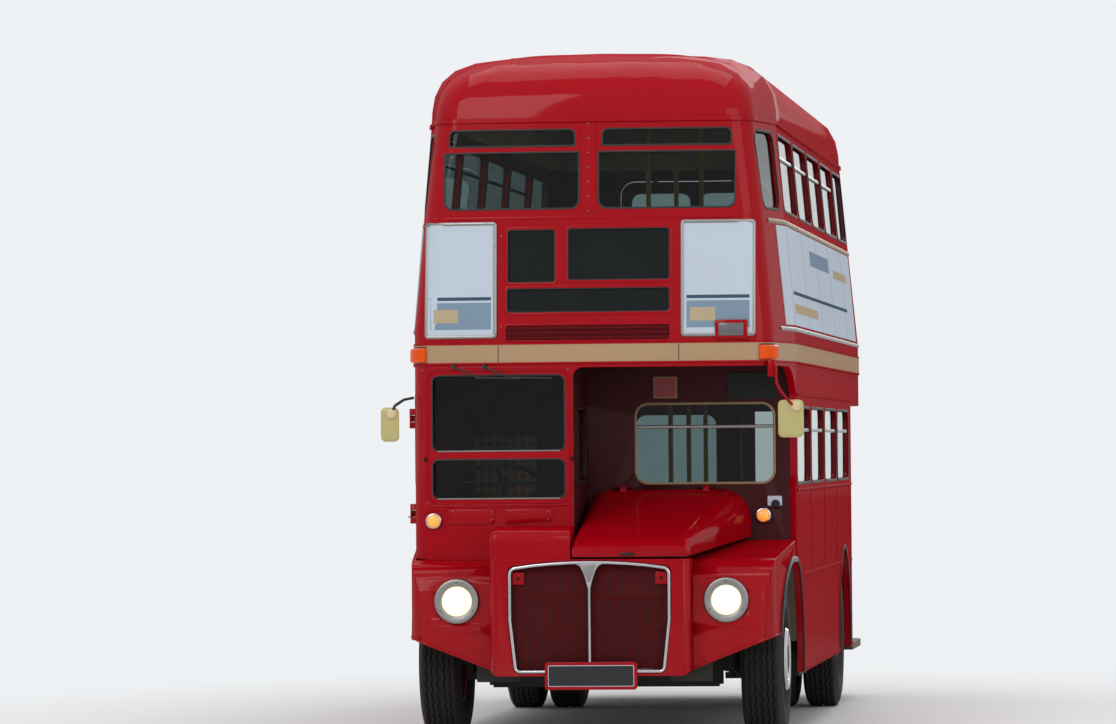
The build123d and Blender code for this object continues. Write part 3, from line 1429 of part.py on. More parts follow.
def nodes():
    """Every node by its name."""
    table = {
        "upper_front": upper_front(),
        "upper_rear": upper_rear(),
        "emergency_door": emergency_door(),
        "emergency_door_glass": emergency_glazing(),
        "front_dome": front_dome(),
        "roof_panels": roof_panels(),
        "rear_dome": rear_dome(),
        "cream_band": cream_band(),
        "lower_side_nearside": lower_side_nearside(),
        "lower_side_offside": lower_side_offside(),
        "lower_rear": lower_rear(),
        "front_bulkhead": front_bulkhead(),
        "platform_bulkheads": platform_bulkhead(),
        "cab_front": cab_front(),
        "cab_offside": cab_offside(),
        "cab_nearside": cab_nearside(),
        "cab_door": cab_door(),
        "cab_door_glass": cab_door_glass(),
        "upper_glazing": group(upper_side_glazing(1), upper_side_glazing(-1),
                               upper_front_glazing(), blind_glasses()),
        "lower_glazing": group(lower_side_glazing(1), lower_side_glazing(-1), windscreen(),
                               bulkhead_glazing(), rear_glazing()),
        "advert_panels": advert_panels(),
        "nose_cowl": nose_cowl(),
        "grille_frame": grille_frame(),
        "number_plate": number_plate(),
        "grille_bars": grille_mesh(),
        "bonnet": bonnet(),
        "lamps": group(headlamps(), small_lamps()),
        "lower_floor": group(lower_floor() + rear_wheel_boxes() + front_wheel_covers(), cab_floor()),
        "upper_floor": upper_floor(),
        "rear_platform": rear_platform(),
        "staircase": staircase(),
        "seat_frames": group(seat_frames("lower"), seat_frames("upper"), driver_seat_frame()),
        "seat_cushions": group(cushions("lower"), cushions("upper"), bench_seats(),
                               driver_seat_cushions()),
        "grab_poles": grab_poles(),
        "ceiling_lamps": ceiling_lamps(),
        "underframe": underframe(),
        "engine": engine(),
        "axles": group(front_axle(), rear_axle()),
        "steering_column": steering_column(),
        "steering_wheel": steering_wheel(),
        "mirrors": mirror_arms(),
        "wipers": wipers(),
    }
    for side, name in ((1, "nearside"), (-1, "offside")):
        table[f"upper_side_{name}"] = upper_side(side)
        table[f"front_wing_{name}"] = front_wing(side)
        table[f"knuckle_{name}"] = knuckle(side)
        front_x = side * FRONT_WHEEL_X
        table[f"front_tyre_{name}"] = tyre(front_x, FRONT_AXLE_Y, FRONT_TYRE_WIDTH)
        table[f"front_wheel_{name}"] = front_wheel(side)
        table[f"rear_tyres_{name}"] = rear_tyres(side)
        table[f"rear_wheels_{name}"] = rear_wheels(side)
    return table


def main():
    """Write each node to its own file."""
    os.makedirs("parts", exist_ok=True)
    for name, shape in nodes().items():
        export_step(shape, f"parts/{name}.step")
        print(name, len(shape.solids()), round(shape.volume / 1e9, 4))


main()
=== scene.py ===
"""Looks of a half-cab double decker bus: finishes, trim, lamps, tyres, seats, light and camera.

Metres. +Z is up, the front faces -Y, and +X is the nearside, the kerb side.
"""
from __future__ import annotations

import json
import logging
import math
from dataclasses import dataclass, field
from enum import Enum
from typing import Callable, Iterable, Sequence

import bmesh
import bpy
from mathutils import Matrix, Vector
from mathutils.kdtree import KDTree

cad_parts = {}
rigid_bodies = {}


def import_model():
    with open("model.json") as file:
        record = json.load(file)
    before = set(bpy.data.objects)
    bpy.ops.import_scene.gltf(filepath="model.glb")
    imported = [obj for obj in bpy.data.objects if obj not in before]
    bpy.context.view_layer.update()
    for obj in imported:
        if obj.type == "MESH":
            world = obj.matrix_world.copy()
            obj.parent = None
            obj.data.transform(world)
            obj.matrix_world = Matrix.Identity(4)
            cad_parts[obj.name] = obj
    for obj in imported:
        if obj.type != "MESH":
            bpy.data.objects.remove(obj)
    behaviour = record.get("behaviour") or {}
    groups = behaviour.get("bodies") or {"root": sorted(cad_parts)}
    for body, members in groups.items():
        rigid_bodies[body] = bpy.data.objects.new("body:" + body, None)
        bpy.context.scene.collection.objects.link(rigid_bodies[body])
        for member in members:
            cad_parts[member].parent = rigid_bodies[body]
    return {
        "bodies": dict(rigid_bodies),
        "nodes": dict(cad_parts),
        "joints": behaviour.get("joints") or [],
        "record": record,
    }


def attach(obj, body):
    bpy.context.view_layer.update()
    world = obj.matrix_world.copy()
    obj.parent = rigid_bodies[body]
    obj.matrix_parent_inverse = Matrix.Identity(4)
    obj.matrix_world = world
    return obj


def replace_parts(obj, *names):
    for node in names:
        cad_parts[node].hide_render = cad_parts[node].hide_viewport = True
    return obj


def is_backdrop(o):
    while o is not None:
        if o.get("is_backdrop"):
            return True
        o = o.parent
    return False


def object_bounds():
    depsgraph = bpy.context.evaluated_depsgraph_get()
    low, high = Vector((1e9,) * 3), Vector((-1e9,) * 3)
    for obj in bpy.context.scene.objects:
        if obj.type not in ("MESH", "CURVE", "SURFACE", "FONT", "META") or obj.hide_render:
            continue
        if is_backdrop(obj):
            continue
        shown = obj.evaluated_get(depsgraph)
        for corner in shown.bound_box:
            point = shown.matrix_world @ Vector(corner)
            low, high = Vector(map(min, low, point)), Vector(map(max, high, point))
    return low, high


LOG = logging.getLogger("bus")

Colour = tuple[float, float, float, float]
Pair = tuple[float, float]
Framed = tuple[Vector, Vector]
Surface = Callable[[float, float], Vector]
Wall = Callable[[Iterable[Pair]], list[Framed]]
Value = float | str | Sequence[float] | bpy.types.NodeSocket


def srgb(red: int, green: int, blue: int) -> Colour:
    """Turn a display colour into a linear one.

    Args:
        red: Red from 0 to 255.
        green: Green from 0 to 255.
        blue: Blue from 0 to 255.

    Returns:
        The linear colour with full alpha.
    """
    linear = []
    for value in (red, green, blue):
        share = value / 255
        linear.append(share / 12.92 if share <= 0.04045 else ((share + 0.055) / 1.055) ** 2.4)
    return (linear[0], linear[1], linear[2], 1.0)


# Finishes


class Look(Enum):
    """Every finish on the bus."""

    RED = "coach_red"
    DEEP_RED_AND_PAINTED_SHADE = "deep_red_and_painted_shade"
    GRILLE = "radiator_red"
    CREAM = "band_cream"
    LINING = "burgundy_lining"
    CEILING = "cream_ceiling"
    CHROME = "bright_plate"
    DULL_METAL = "satin_alloy"
    TAN = "tan_beading"
    BLACK = "black_enamel_and_painted_shade"
    CHASSIS = "chassis_black"
    IRON = "engine_iron"
    GASKET = "window_rubber"
    TYRE = "tyre_rubber"
    WHEEL = "wheel_red"
    FLOOR = "ribbed_floor"
    MOQUETTE = "moquette"
    PIPING = "hide_piping"
    SEAT_PAINT = "seat_frame_burgundy"
    POLE = "pole_yellow"
    CARD = "display_card"
    PLATE = "blank_plate"
    SLAT = "floor_slat"
    BLIND = "blind_cloth"
    POSTER_DEEP = "poster_slate"
    POSTER_MID = "poster_blue_grey"
    POSTER_WARM = "poster_sand"
    PLASTIC = "black_plastic"
    GLASS = "window_glass"
    LAMP_GLASS = "pearl_lamp"
    HEADLAMP = "headlamp_lens"
    AMBER = "amber_lens"
    SIDE_LENS = "side_lamp_lens"
    RED_LENS = "red_lens"
    GREY_LENS = "grey_lens"
    MIRROR = "mirror_silver"
    MIRROR_BACK = "mirror_back_yellow"
    STUDIO = "studio_floor"


def add_node(tree: bpy.types.NodeTree, kind: str, inputs: dict[str | int, Value],
             **settings: str) -> bpy.types.Node:
    """Add a node, choose its settings, and set or link its inputs.

    Args:
        tree: The tree to add to.
        kind: The node's kind.
        inputs: Sockets or plain values by the input's name or number.
        settings: The node's own choices, such as its operation.

    Returns:
        The new node.
    """
    node = tree.nodes.new(kind)
    for label, choice in settings.items():
        setattr(node, label, choice)
    for key, value in inputs.items():
        if isinstance(value, bpy.types.NodeSocket):
            tree.links.new(value, node.inputs[key])
        else:
            node.inputs[key].default_value = value
    return node


def maths(tree: bpy.types.NodeTree, operation: str, *values: Value) -> bpy.types.NodeSocket:
    """Add a Math node and give its result."""
    return add_node(tree, "ShaderNodeMath", dict(enumerate(values)), operation=operation).outputs[0]


def ranged(tree: bpy.types.NodeTree, value: Value, source: Sequence[Value], target: Pair,
           curve: str = "LINEAR") -> bpy.types.NodeSocket:
    """Carry a value from a source range to a target range, held at both ends."""
    inputs = {"Value": value, "From Min": source[0], "From Max": source[1], "To Min": target[0],
              "To Max": target[1]}
    return add_node(tree, "ShaderNodeMapRange", inputs, interpolation_type=curve).outputs[0]


def own_place(tree: bpy.types.NodeTree) -> bpy.types.NodeSocket:
    """Places in the piece's own metres."""
    return tree.nodes.new("ShaderNodeTexCoord").outputs["Object"]


def noise(tree: bpy.types.NodeTree, place: Value, scale: Value, detail: float) -> bpy.types.NodeSocket:
    """Add soft noise and give its value."""
    inputs = {"Vector": place, "Scale": scale, "Detail": detail}
    return add_node(tree, "ShaderNodeTexNoise", inputs).outputs["Fac"]


def shader_group(name: str, inputs: dict[str, float], outputs: Sequence[str]) -> bpy.types.NodeTree:
    """Start a shader node group with float inputs and outputs.

    Args:
        name: The group's name.
        inputs: Input names and their default values.
        outputs: Output names.

    Returns:
        The new group, holding its input and output nodes.
    """
    tree = bpy.data.node_groups.new(name, "ShaderNodeTree")
    for label, value in inputs.items():
        socket = tree.interface.new_socket(name=label, in_out="INPUT", socket_type="NodeSocketFloat")
        socket.default_value = value
    for label in outputs:
        tree.interface.new_socket(name=label, in_out="OUTPUT", socket_type="NodeSocketFloat")
    tree.nodes.new("NodeGroupInput").name = "In"
    tree.nodes.new("NodeGroupOutput").name = "Out"
    return tree


def mottle_group(name: str) -> bpy.types.NodeTree:
    """Build the group for soft, uneven variation over a surface."""
    tree = shader_group(name, {"Scale": 2.0, "Fine share": 0.35}, ["Value"])
    into, place = tree.nodes["In"].outputs, own_place(tree)
    coarse = noise(tree, place, into["Scale"], 4.0)
    fine = noise(tree, place, maths(tree, "MULTIPLY", into["Scale"], 9.0), 4.0)
    kept = maths(tree, "SUBTRACT", 1.0, into["Fine share"])
    total = maths(tree, "ADD", maths(tree, "MULTIPLY", coarse, kept),
                  maths(tree, "MULTIPLY", fine, into["Fine share"]))
    tree.links.new(total, tree.nodes["Out"].inputs["Value"])
    return tree


def dust_group(name: str) -> bpy.types.NodeTree:
    """Build the group for road dust, thickest low down and in patches."""
    tree = shader_group(name, {"Clean above": 1.3, "Patch scale": 3.0}, ["Mask"])
    into, place = tree.nodes["In"].outputs, own_place(tree)
    height = add_node(tree, "ShaderNodeSeparateXYZ", {0: place}).outputs["Z"]
    patch = noise(tree, place, into["Patch scale"], 6.0)
    reach = ranged(tree, height, (0.0, into["Clean above"]), (1.0, 0.0))
    tree.links.new(maths(tree, "MULTIPLY", reach, patch), tree.nodes["Out"].inputs["Mask"])
    return tree


def grain_group(name: str) -> bpy.types.NodeTree:
    """Build the group for fine grain, such as orange peel or moulded texture."""
    tree = shader_group(name, {"Scale": 200.0}, ["Height"])
    grain = noise(tree, own_place(tree), tree.nodes["In"].outputs["Scale"], 2.0)
    tree.links.new(grain, tree.nodes["Out"].inputs["Height"])
    return tree


def weave_group(name: str) -> bpy.types.NodeTree:
    """Build the group for woven pile: crossing threads and a plain check."""
    tree = shader_group(name, {"Threads": 300.0, "Check": 6.0}, ["Height", "Check mask"])
    into, place, out = tree.nodes["In"].outputs, own_place(tree), tree.nodes["Out"].inputs
    waves = [[add_node(tree, "ShaderNodeTexWave", {"Vector": place, "Scale": into[scale]},
                       bands_direction=axis).outputs["Fac"] for axis in ("X", "Z")]
             for scale in ("Threads", "Check")]
    checks = [maths(tree, "GREATER_THAN", wave, 0.72) for wave in waves[1]]
    tree.links.new(maths(tree, "MULTIPLY", *waves[0]), out["Height"])
    tree.links.new(maths(tree, "MAXIMUM", *checks), out["Check mask"])
    return tree


GROUPS: dict[str, Callable[[str], bpy.types.NodeTree]] = {
    "Uneven surface": mottle_group, "Road dust": dust_group, "Fine grain": grain_group,
    "Woven pile": weave_group,
}


def place_group(tree: bpy.types.NodeTree, name: str,
                values: dict[str, float]) -> bpy.types.NodeOutputs:
    """Put a node group, made once, into a material with its own values.

    Args:
        tree: The material's node tree.
        name: The group's name.
        values: Values by input name.

    Returns:
        The group's outputs.
    """
    node = tree.nodes.new("ShaderNodeGroup")
    node.node_tree = bpy.data.node_groups.get(name) or GROUPS[name](name)
    for label, value in values.items():
        node.inputs[label].default_value = value
    return node.outputs


COAT_ROUGHNESS = 0.06
# Between these two slants to the eye a coat fades; 1 is edge-on.
EDGE_ON = (0.70, 0.95)
# Share of the light that glass lets through, so that the saloon is not dark.
GLASS_LETS_LIGHT = 0.85


@dataclass(frozen=True)
class Finish:
    """A surface finish with uneven colour, gloss, dust and grain."""

    colour: Colour
    roughness: float = 0.4
    spread: float = 0.1
    metallic: float = 0.0
    coat: float = 0.0
    variation: float = 0.1
    mottle: float = 1.6
    dust: float = 0.0
    dust_colour: Colour = srgb(120, 104, 90)
    clean_above: float = 1.4
    grain: float = 0.0
    grain_scale: float = 220.0
    glow: float = 0.0
    transmission: float = 0.0
    threads: float = 0.0
    shine: float = 0.5
    ior: float = 1.5
    fades: bool = False
    check: Colour = srgb(120, 96, 60)

    def shaded(self, factor: float) -> Colour:
        """The colour made lighter or darker by a factor."""
        return (*[min(1.0, value * factor) for value in self.colour[:3]], 1.0)

    def build(self, name: str) -> bpy.types.Material:
        """Make the material.

        Args:
            name: The material's name.

        Returns:
            The new material.
        """
        material = bpy.data.materials.new(name)
        material.use_nodes = True
        tree = material.node_tree
        shader = tree.nodes["Principled BSDF"]
        for label, value in (("Metallic", self.metallic), ("Coat Weight", self.coat),
                             ("Coat Roughness", COAT_ROUGHNESS), ("IOR", self.ior),
                             ("Specular IOR Level", self.shine),
                             ("Transmission Weight", self.transmission)):
            shader.inputs[label].default_value = value
        tint, gloss = self.surface(tree, shader)
        tree.links.new(tint, shader.inputs["Base Color"])
        tree.links.new(gloss, shader.inputs["Roughness"])
        if self.fades:
            facing = add_node(tree, "ShaderNodeLayerWeight", {"Blend": 0.5}).outputs["Facing"]
            fade = ranged(tree, facing, EDGE_ON, (self.coat, self.coat * 0.1))
            tree.links.new(fade, shader.inputs["Coat Weight"])
        if self.transmission:
            shadow = tree.nodes.new("ShaderNodeLightPath").outputs["Is Shadow Ray"]
            veil = maths(tree, "MULTIPLY", shadow, -GLASS_LETS_LIGHT)
            tree.links.new(maths(tree, "ADD", veil, 1.0), shader.inputs["Alpha"])
        if self.glow:
            shader.inputs["Emission Strength"].default_value = self.glow
            tree.links.new(tint, shader.inputs["Emission Color"])
        return material

    def surface(self, tree: bpy.types.NodeTree,
                shader: bpy.types.Node) -> tuple[bpy.types.NodeSocket, bpy.types.NodeSocket]:
        """Lay variation, weave, dust and grain over each other.

        Args:
            tree: The material's node tree.
            shader: The Principled node.

        Returns:
            The colour and the roughness.
        """
        mottle = place_group(tree, "Uneven surface", {"Scale": self.mottle})["Value"]
        tint = self.mix(tree, mottle, self.shaded(1 - self.variation), self.shaded(1 + self.variation))
        half = self.spread / 2
        gloss = ranged(tree, mottle, (0.3, 0.7), (max(0.0, self.roughness - half), self.roughness + half))
        if self.threads:
            weave = place_group(tree, "Woven pile", {"Threads": self.threads})
            tint = self.mix(tree, weave["Check mask"], tint, self.check)
            self.bump(tree, shader, weave["Height"], 0.0008)
        if self.dust:
            mask = place_group(tree, "Road dust", {"Clean above": self.clean_above})["Mask"]
            share = maths(tree, "MULTIPLY", mask, self.dust)
            tint = self.mix(tree, share, tint, self.dust_colour)
            gloss = maths(tree, "ADD", gloss, maths(tree, "MULTIPLY", share, 0.5))
        if self.grain:
            grain = place_group(tree, "Fine grain", {"Scale": self.grain_scale})
            self.bump(tree, shader, grain["Height"], self.grain)
        return tint, gloss

    @staticmethod
    def mix(tree: bpy.types.NodeTree, factor: Value, first: Value, second: Value) -> bpy.types.NodeSocket:
        """Mix two colours by the share of the second."""
        inputs = {"Factor": factor, 6: first, 7: second}
        return add_node(tree, "ShaderNodeMix", inputs, data_type="RGBA").outputs[2]

    @staticmethod
    def bump(tree: bpy.types.NodeTree, shader: bpy.types.Node, height: Value, depth: float) -> None:
        """Feed a height, with its depth in metres, into the shader's normal."""
        relief = add_node(tree, "ShaderNodeBump", {"Distance": depth, "Strength": 0.6, "Height": height})
        tree.links.new(relief.outputs["Normal"], shader.inputs["Normal"])


FINISHES: dict[Look, Finish] = {
    Look.RED: Finish(srgb(164, 1, 18), 0.30, 0.12, coat=0.30, variation=0.06, dust=0.14,
                     grain=0.0005, grain_scale=60, shine=0.0, fades=True),
    # Coach red darkened; on the bulkhead, the cab's nearside and the head rail under the canopy it is
    # painted shade.
    Look.DEEP_RED_AND_PAINTED_SHADE: Finish(srgb(62, 8, 14), 0.5, 0.12, dust=0.3, clean_above=1.5, shine=0.2),
    Look.GRILLE: Finish(srgb(96, 8, 18), 0.55, 0.12, dust=0.15, clean_above=1.5, shine=0.15),
    Look.PLATE: Finish(srgb(20, 21, 24), 0.35, 0.08, variation=0.04),
    Look.SLAT: Finish(srgb(74, 58, 44), 0.6, 0.15, variation=0.2, grain=0.0006),
    Look.CREAM: Finish(srgb(178, 146, 112), 0.42, 0.12, coat=0.35, variation=0.08, shine=0.0,
                       fades=True),
    Look.LINING: Finish(srgb(96, 26, 32), 0.5, 0.1, grain=0.0004),
    Look.CEILING: Finish(srgb(214, 196, 150), 0.45, 0.1, variation=0.05),
    Look.CHROME: Finish(srgb(196, 196, 200), 0.14, 0.12, metallic=1.0, variation=0.06, dust=0.25,
                        mottle=9.0),
    Look.DULL_METAL: Finish(srgb(150, 148, 146), 0.36, 0.16, metallic=1.0, mottle=8.0, dust=0.3),
    Look.TAN: Finish(srgb(142, 118, 88), 0.45, 0.15, metallic=0.3, mottle=6.0),
    # Black enamel; as the cab panels' insides it is painted shade that keeps the cab dark behind the
    # windscreen.
    Look.BLACK: Finish(srgb(18, 18, 21), 0.3, 0.12, coat=0.1, dust=0.3, shine=0.3),
    Look.CHASSIS: Finish(srgb(30, 29, 29), 0.62, 0.2, dust=0.75, clean_above=1.0,
                         dust_colour=srgb(74, 64, 54)),
    Look.IRON: Finish(srgb(78, 76, 74), 0.6, 0.2, metallic=0.4, dust=0.7, clean_above=2.0,
                      dust_colour=srgb(66, 54, 44), grain=0.0006),
    Look.GASKET: Finish(srgb(26, 26, 28), 0.6, 0.15, grain=0.0003),
    Look.TYRE: Finish(srgb(22, 21, 22), 0.78, 0.14, variation=0.18, mottle=5.0, dust=0.35, shine=0.3,
                      clean_above=1.6, dust_colour=srgb(84, 78, 70), grain=0.0006),
    Look.WHEEL: Finish(srgb(138, 16, 28), 0.42, 0.15, coat=0.2, dust=0.75, clean_above=1.6,
                       dust_colour=srgb(70, 58, 50)),
    Look.FLOOR: Finish(srgb(92, 76, 62), 0.7, 0.15, variation=0.16, grain=0.0008),
    Look.MOQUETTE: Finish(srgb(112, 30, 34), 0.9, 0.05, threads=260.0),
    Look.PIPING: Finish(srgb(88, 22, 26), 0.5, 0.1, grain=0.0004),
    Look.SEAT_PAINT: Finish(srgb(104, 24, 30), 0.4, 0.1, coat=0.2),
    Look.POLE: Finish(srgb(206, 156, 32), 0.35, 0.12, coat=0.3, variation=0.08),
    Look.CARD: Finish(srgb(196, 206, 218), 0.32, 0.06, coat=0.3, variation=0.03, shine=0.0,
                      fades=True),
    Look.BLIND: Finish(srgb(26, 27, 30), 0.8, 0.1, variation=0.05),
    Look.POSTER_DEEP: Finish(srgb(62, 84, 108), 0.32, 0.06, coat=0.3, shine=0.0, fades=True,
                         variation=0.04),
    Look.POSTER_MID: Finish(srgb(128, 148, 168), 0.32, 0.06, coat=0.3, shine=0.0, fades=True,
                         variation=0.05),
    Look.POSTER_WARM: Finish(srgb(186, 168, 136), 0.32, 0.06, coat=0.3, shine=0.0, fades=True,
                         variation=0.05),
    Look.PLASTIC: Finish(srgb(28, 28, 30), 0.38, 0.1, grain=0.0003),
    Look.GLASS: Finish(srgb(150, 166, 166), 0.0, 0.0, variation=0.01, transmission=1.0, ior=1.22),
    Look.LAMP_GLASS: Finish(srgb(255, 224, 150), 0.3, 0.05, variation=0.02, glow=5.0),
    Look.HEADLAMP: Finish(srgb(255, 241, 208), 0.2, 0.05, coat=0.6, variation=0.12, mottle=30.0,
                          glow=0.75),
    Look.AMBER: Finish(srgb(222, 78, 4), 0.3, 0.05, glow=0.12, shine=0.2),
    Look.SIDE_LENS: Finish(srgb(255, 158, 62), 0.2, 0.05, coat=0.5, variation=0.25, mottle=34.0,
                           glow=0.6),
    Look.RED_LENS: Finish(srgb(150, 8, 14), 0.18, 0.05, coat=0.6, glow=0.1),
    Look.GREY_LENS: Finish(srgb(96, 94, 98), 0.25, 0.05, coat=0.5),
    Look.MIRROR: Finish(srgb(220, 224, 226), 0.03, 0.02, metallic=1.0, variation=0.01),
    Look.MIRROR_BACK: Finish(srgb(190, 178, 116), 0.4, 0.1, coat=0.1, variation=0.1),
    Look.STUDIO: Finish(srgb(226, 226, 224), 0.75, 0.05, variation=0.01, mottle=0.3),
}


def material(look: Look) -> bpy.types.Material:
    """The material of a finish, made the first time that it is asked for."""
    name = f"{look.value}_finish"
    return bpy.data.materials.get(name) or FINISHES[look].build(name)


# Meshes


def linked(piece: bpy.types.Object) -> bpy.types.Object:
    """Put a new object into the scene."""
    bpy.context.scene.collection.objects.link(piece)
    return piece


def evaluated(holder: bpy.types.Object) -> bpy.types.Mesh:
    """A new mesh of what an object's modifiers make of it."""
    graph = bpy.context.evaluated_depsgraph_get()
    return bpy.data.meshes.new_from_object(holder.evaluated_get(graph))


def opened(node: bpy.types.Object, merge: float) -> bmesh.types.BMesh:
    """Open a CAD node for editing where it stands.

    Args:
        node: The CAD node.
        merge: Points nearer than this become one, in metres.

    Returns:
        Its editable mesh.
    """
    build = bmesh.new()
    build.from_mesh(node.data)
    bmesh.ops.transform(build, matrix=node.matrix_world, verts=build.verts)
    bmesh.ops.remove_doubles(build, verts=build.verts, dist=merge)
    return build


def strip_faces(start: int, end: int, width: int, closed: bool = True) -> list[list[int]]:
    """Four-sided faces between two rows of points that begin at start and at end."""
    return [[start + j, start + (j + 1) % width, end + (j + 1) % width, end + j]
            for j in range(width if closed else width - 1)]


def lifted(path: Iterable[Framed], by: float) -> list[Framed]:
    """A path moved along its outward directions."""
    return [(point + outward * by, outward) for point, outward in path]


def run_of(low: float, high: float, steps: int) -> list[float]:
    """Even steps from one number to another, both ends included."""
    return [low + (high - low) * k / steps for k in range(steps + 1)]


def level_row(low: float, high: float, z: float, steps: int) -> list[Pair]:
    """Even places along one level of a wall."""
    return [(place, z) for place in run_of(low, high, steps)]


def rounded_box(low: Sequence[float], high: Sequence[float],
                edge: float) -> tuple[list[Vector], list[list[int]]]:
    """Make a block with rounded edges.

    Args:
        low: Lowest corner.
        high: Highest corner.
        edge: Radius of the edges.

    Returns:
        Its points and its faces.
    """
    build = bmesh.new()
    size = [b - a for a, b in zip(low, high)]
    centre = [(a + b) / 2 for a, b in zip(low, high)]
    place = Matrix.Translation(centre) @ Matrix.Diagonal((*size, 1.0))
    bmesh.ops.create_cube(build, size=1.0, matrix=place)
    bmesh.ops.bevel(build, geom=build.edges[:], offset=min(edge, min(size) * 0.45), segments=2,
                    profile=0.5, affect="EDGES")
    build.verts.index_update()
    verts = [v.co.copy() for v in build.verts]
    faces = [[v.index for v in f.verts] for f in build.faces]
    build.free()
    return verts, faces


@dataclass
class Shape:
    """Points and faces gathered from several parts before they become one mesh."""

    verts: list[Vector] = field(default_factory=list)
    faces: list[list[int]] = field(default_factory=list)

    def add(self, verts: Iterable[Vector], faces: Iterable[Sequence[int]]) -> "Shape":
        """Add points and the faces between them.

        Args:
            verts: The new points.
            faces: Faces, counted from the first new point.

        Returns:
            This shape.
        """
        base = len(self.verts)
        self.verts += [Vector(v) for v in verts]
        self.faces += [[base + i for i in face] for face in faces]
        return self

    def block(self, low: Sequence[float], high: Sequence[float], edge: float = 0.002) -> "Shape":
        """Add a block with rounded edges between two corners."""
        return self.add(*rounded_box(low, high, edge))

    def sweep(self, path: Sequence[Framed], profile: Sequence[Pair], closed: bool) -> "Shape":
        """Carry a closed profile along a path on a surface.

        Args:
            path: Points with the surface's outward direction at each.
            profile: Pairs of distance across the path and out of the surface.
            closed: True for a loop.

        Returns:
            This shape.
        """
        count = len(path)
        verts = []
        for i, (point, outward) in enumerate(path):
            before = path[i - 1][0] if closed or i else point
            after = path[(i + 1) % count][0] if closed or i < count - 1 else point
            tangent = (after - before).normalized()
            arriving = (point - before).normalized() if before != point else tangent
            leaving = (after - point).normalized() if after != point else tangent
            mitre = 1 / max(0.4, math.sqrt(max(0.0, (1 + arriving.dot(leaving)) / 2)))
            across = tangent.cross(outward).normalized()
            verts += [point + across * a * mitre + outward * b for a, b in profile]
        width = len(profile)
        faces = []
        for i in range(count if closed else count - 1):
            faces += strip_faces(i * width, (i + 1) % count * width, width)
        if not closed:
            faces.append(list(range(width))[::-1])
            faces.append([(count - 1) * width + j for j in range(width)])
        return self.add(verts, faces)

    def strip(self, path: Sequence[Framed], width: float, height: float, closed: bool = False,
              base: float = -0.002) -> "Shape":
        """Carry a half-round strip along a path."""
        return self.sweep(path, strip_profile(width, height, base), closed)

    def flat(self, path: Sequence[Framed], half: float, base: float, top: float) -> "Shape":
        """Carry a flat strip along a path."""
        return self.sweep(path, [(-half, base), (-half, top), (half, top), (half, base)], False)

    def lathe(self, centre: Sequence[float], axis: Sequence[float], profile: Sequence[Pair],
              segments: int = 48, closed: bool = False,
              shift: Callable[[int, int], float] | None = None) -> "Shape":
        """Turn a profile round an axis.

        Args:
            centre: A point on the axis.
            axis: The axis' direction.
            profile: Pairs of radius and distance along the axis.
            segments: Steps round the axis.
            closed: True where the profile is a loop.
            shift: Extra distance along the axis for a step and a profile point.

        Returns:
            This shape.
        """
        along = Vector(axis).normalized()
        side = along.orthogonal().normalized()
        up = along.cross(side)
        verts = []
        for s in range(segments):
            angle = 2 * math.pi * s / segments
            out = side * math.cos(angle) + up * math.sin(angle)
            for j, (radius, height) in enumerate(profile):
                extra = shift(s, j) if shift else 0.0
                verts.append(Vector(centre) + out * radius + along * (height + extra))
        width = len(profile)
        faces = []
        for s in range(segments):
            faces += strip_faces(s * width, (s + 1) % segments * width, width, closed)
        return self.add(verts, faces)

    def stack(self, rings: Sequence[Sequence[Vector]]) -> "Shape":
        """Skin rings of one length after another and close both ends."""
        width = len(rings[0])
        faces = [list(range(width))[::-1], [(len(rings) - 1) * width + j for j in range(width)]]
        for i in range(len(rings) - 1):
            faces += strip_faces(i * width, (i + 1) * width, width)
        return self.add([point for ring in rings for point in ring], faces)

    def panel(self, box: Sequence[float], radius: float, back: float, front: float,
              facing: int) -> "Shape":
        """Add a thin rounded plate that faces the front or the rear.

        Args:
            box: Low and high edge across, then bottom and top.
            radius: Radius of its corners.
            back: Y of its back.
            front: Y of its face.
            facing: -1 for the front, 1 for the rear.

        Returns:
            This shape.
        """
        soft = min(0.002, abs(front - back) * 0.5)
        levels = ((0.0, back), (0.0, front - facing * soft), (-soft, front))
        return self.stack([plate_ring(box, radius, grow, y) for grow, y in levels])

    def tube(self, points: Sequence[Sequence[float]], radius: float, sides: int = 12) -> "Shape":
        """Add a round bar along a line of points, with closed ends."""
        places = [Vector(p) for p in points]
        run = (places[-1] - places[0]).normalized()
        outward = run.orthogonal().normalized()
        ring = [(radius * math.cos(2 * math.pi * k / sides), radius * math.sin(2 * math.pi * k / sides))
                for k in range(sides)]
        return self.sweep([(p, outward) for p in places], ring, False)

    def plain_mesh(self, name: str) -> bpy.types.Mesh:
        """What was gathered as a mesh, just as it is."""
        mesh = bpy.data.meshes.new(name)
        mesh.from_pydata([tuple(v) for v in self.verts], [], self.faces)
        return mesh

    def make(self, name: str, look: Look, body: str = "root", sharp: float = 38.0) -> bpy.types.Object:
        """Turn what was gathered into one piece.

        Args:
            name: The piece's name.
            look: Its finish.
            body: The body that it rides on.
            sharp: Edges over this angle, in degrees, stay sharp.

        Returns:
            The new object.
        """
        mesh = self.plain_mesh(name)
        build = bmesh.new()
        build.from_mesh(mesh)
        bmesh.ops.remove_doubles(build, verts=build.verts, dist=1e-6)
        bmesh.ops.dissolve_degenerate(build, edges=build.edges, dist=1e-6)
        bmesh.ops.recalc_face_normals(build, faces=build.faces)
        build.to_mesh(mesh)
        build.free()
        return finished(mesh, name, look, body, sharp)


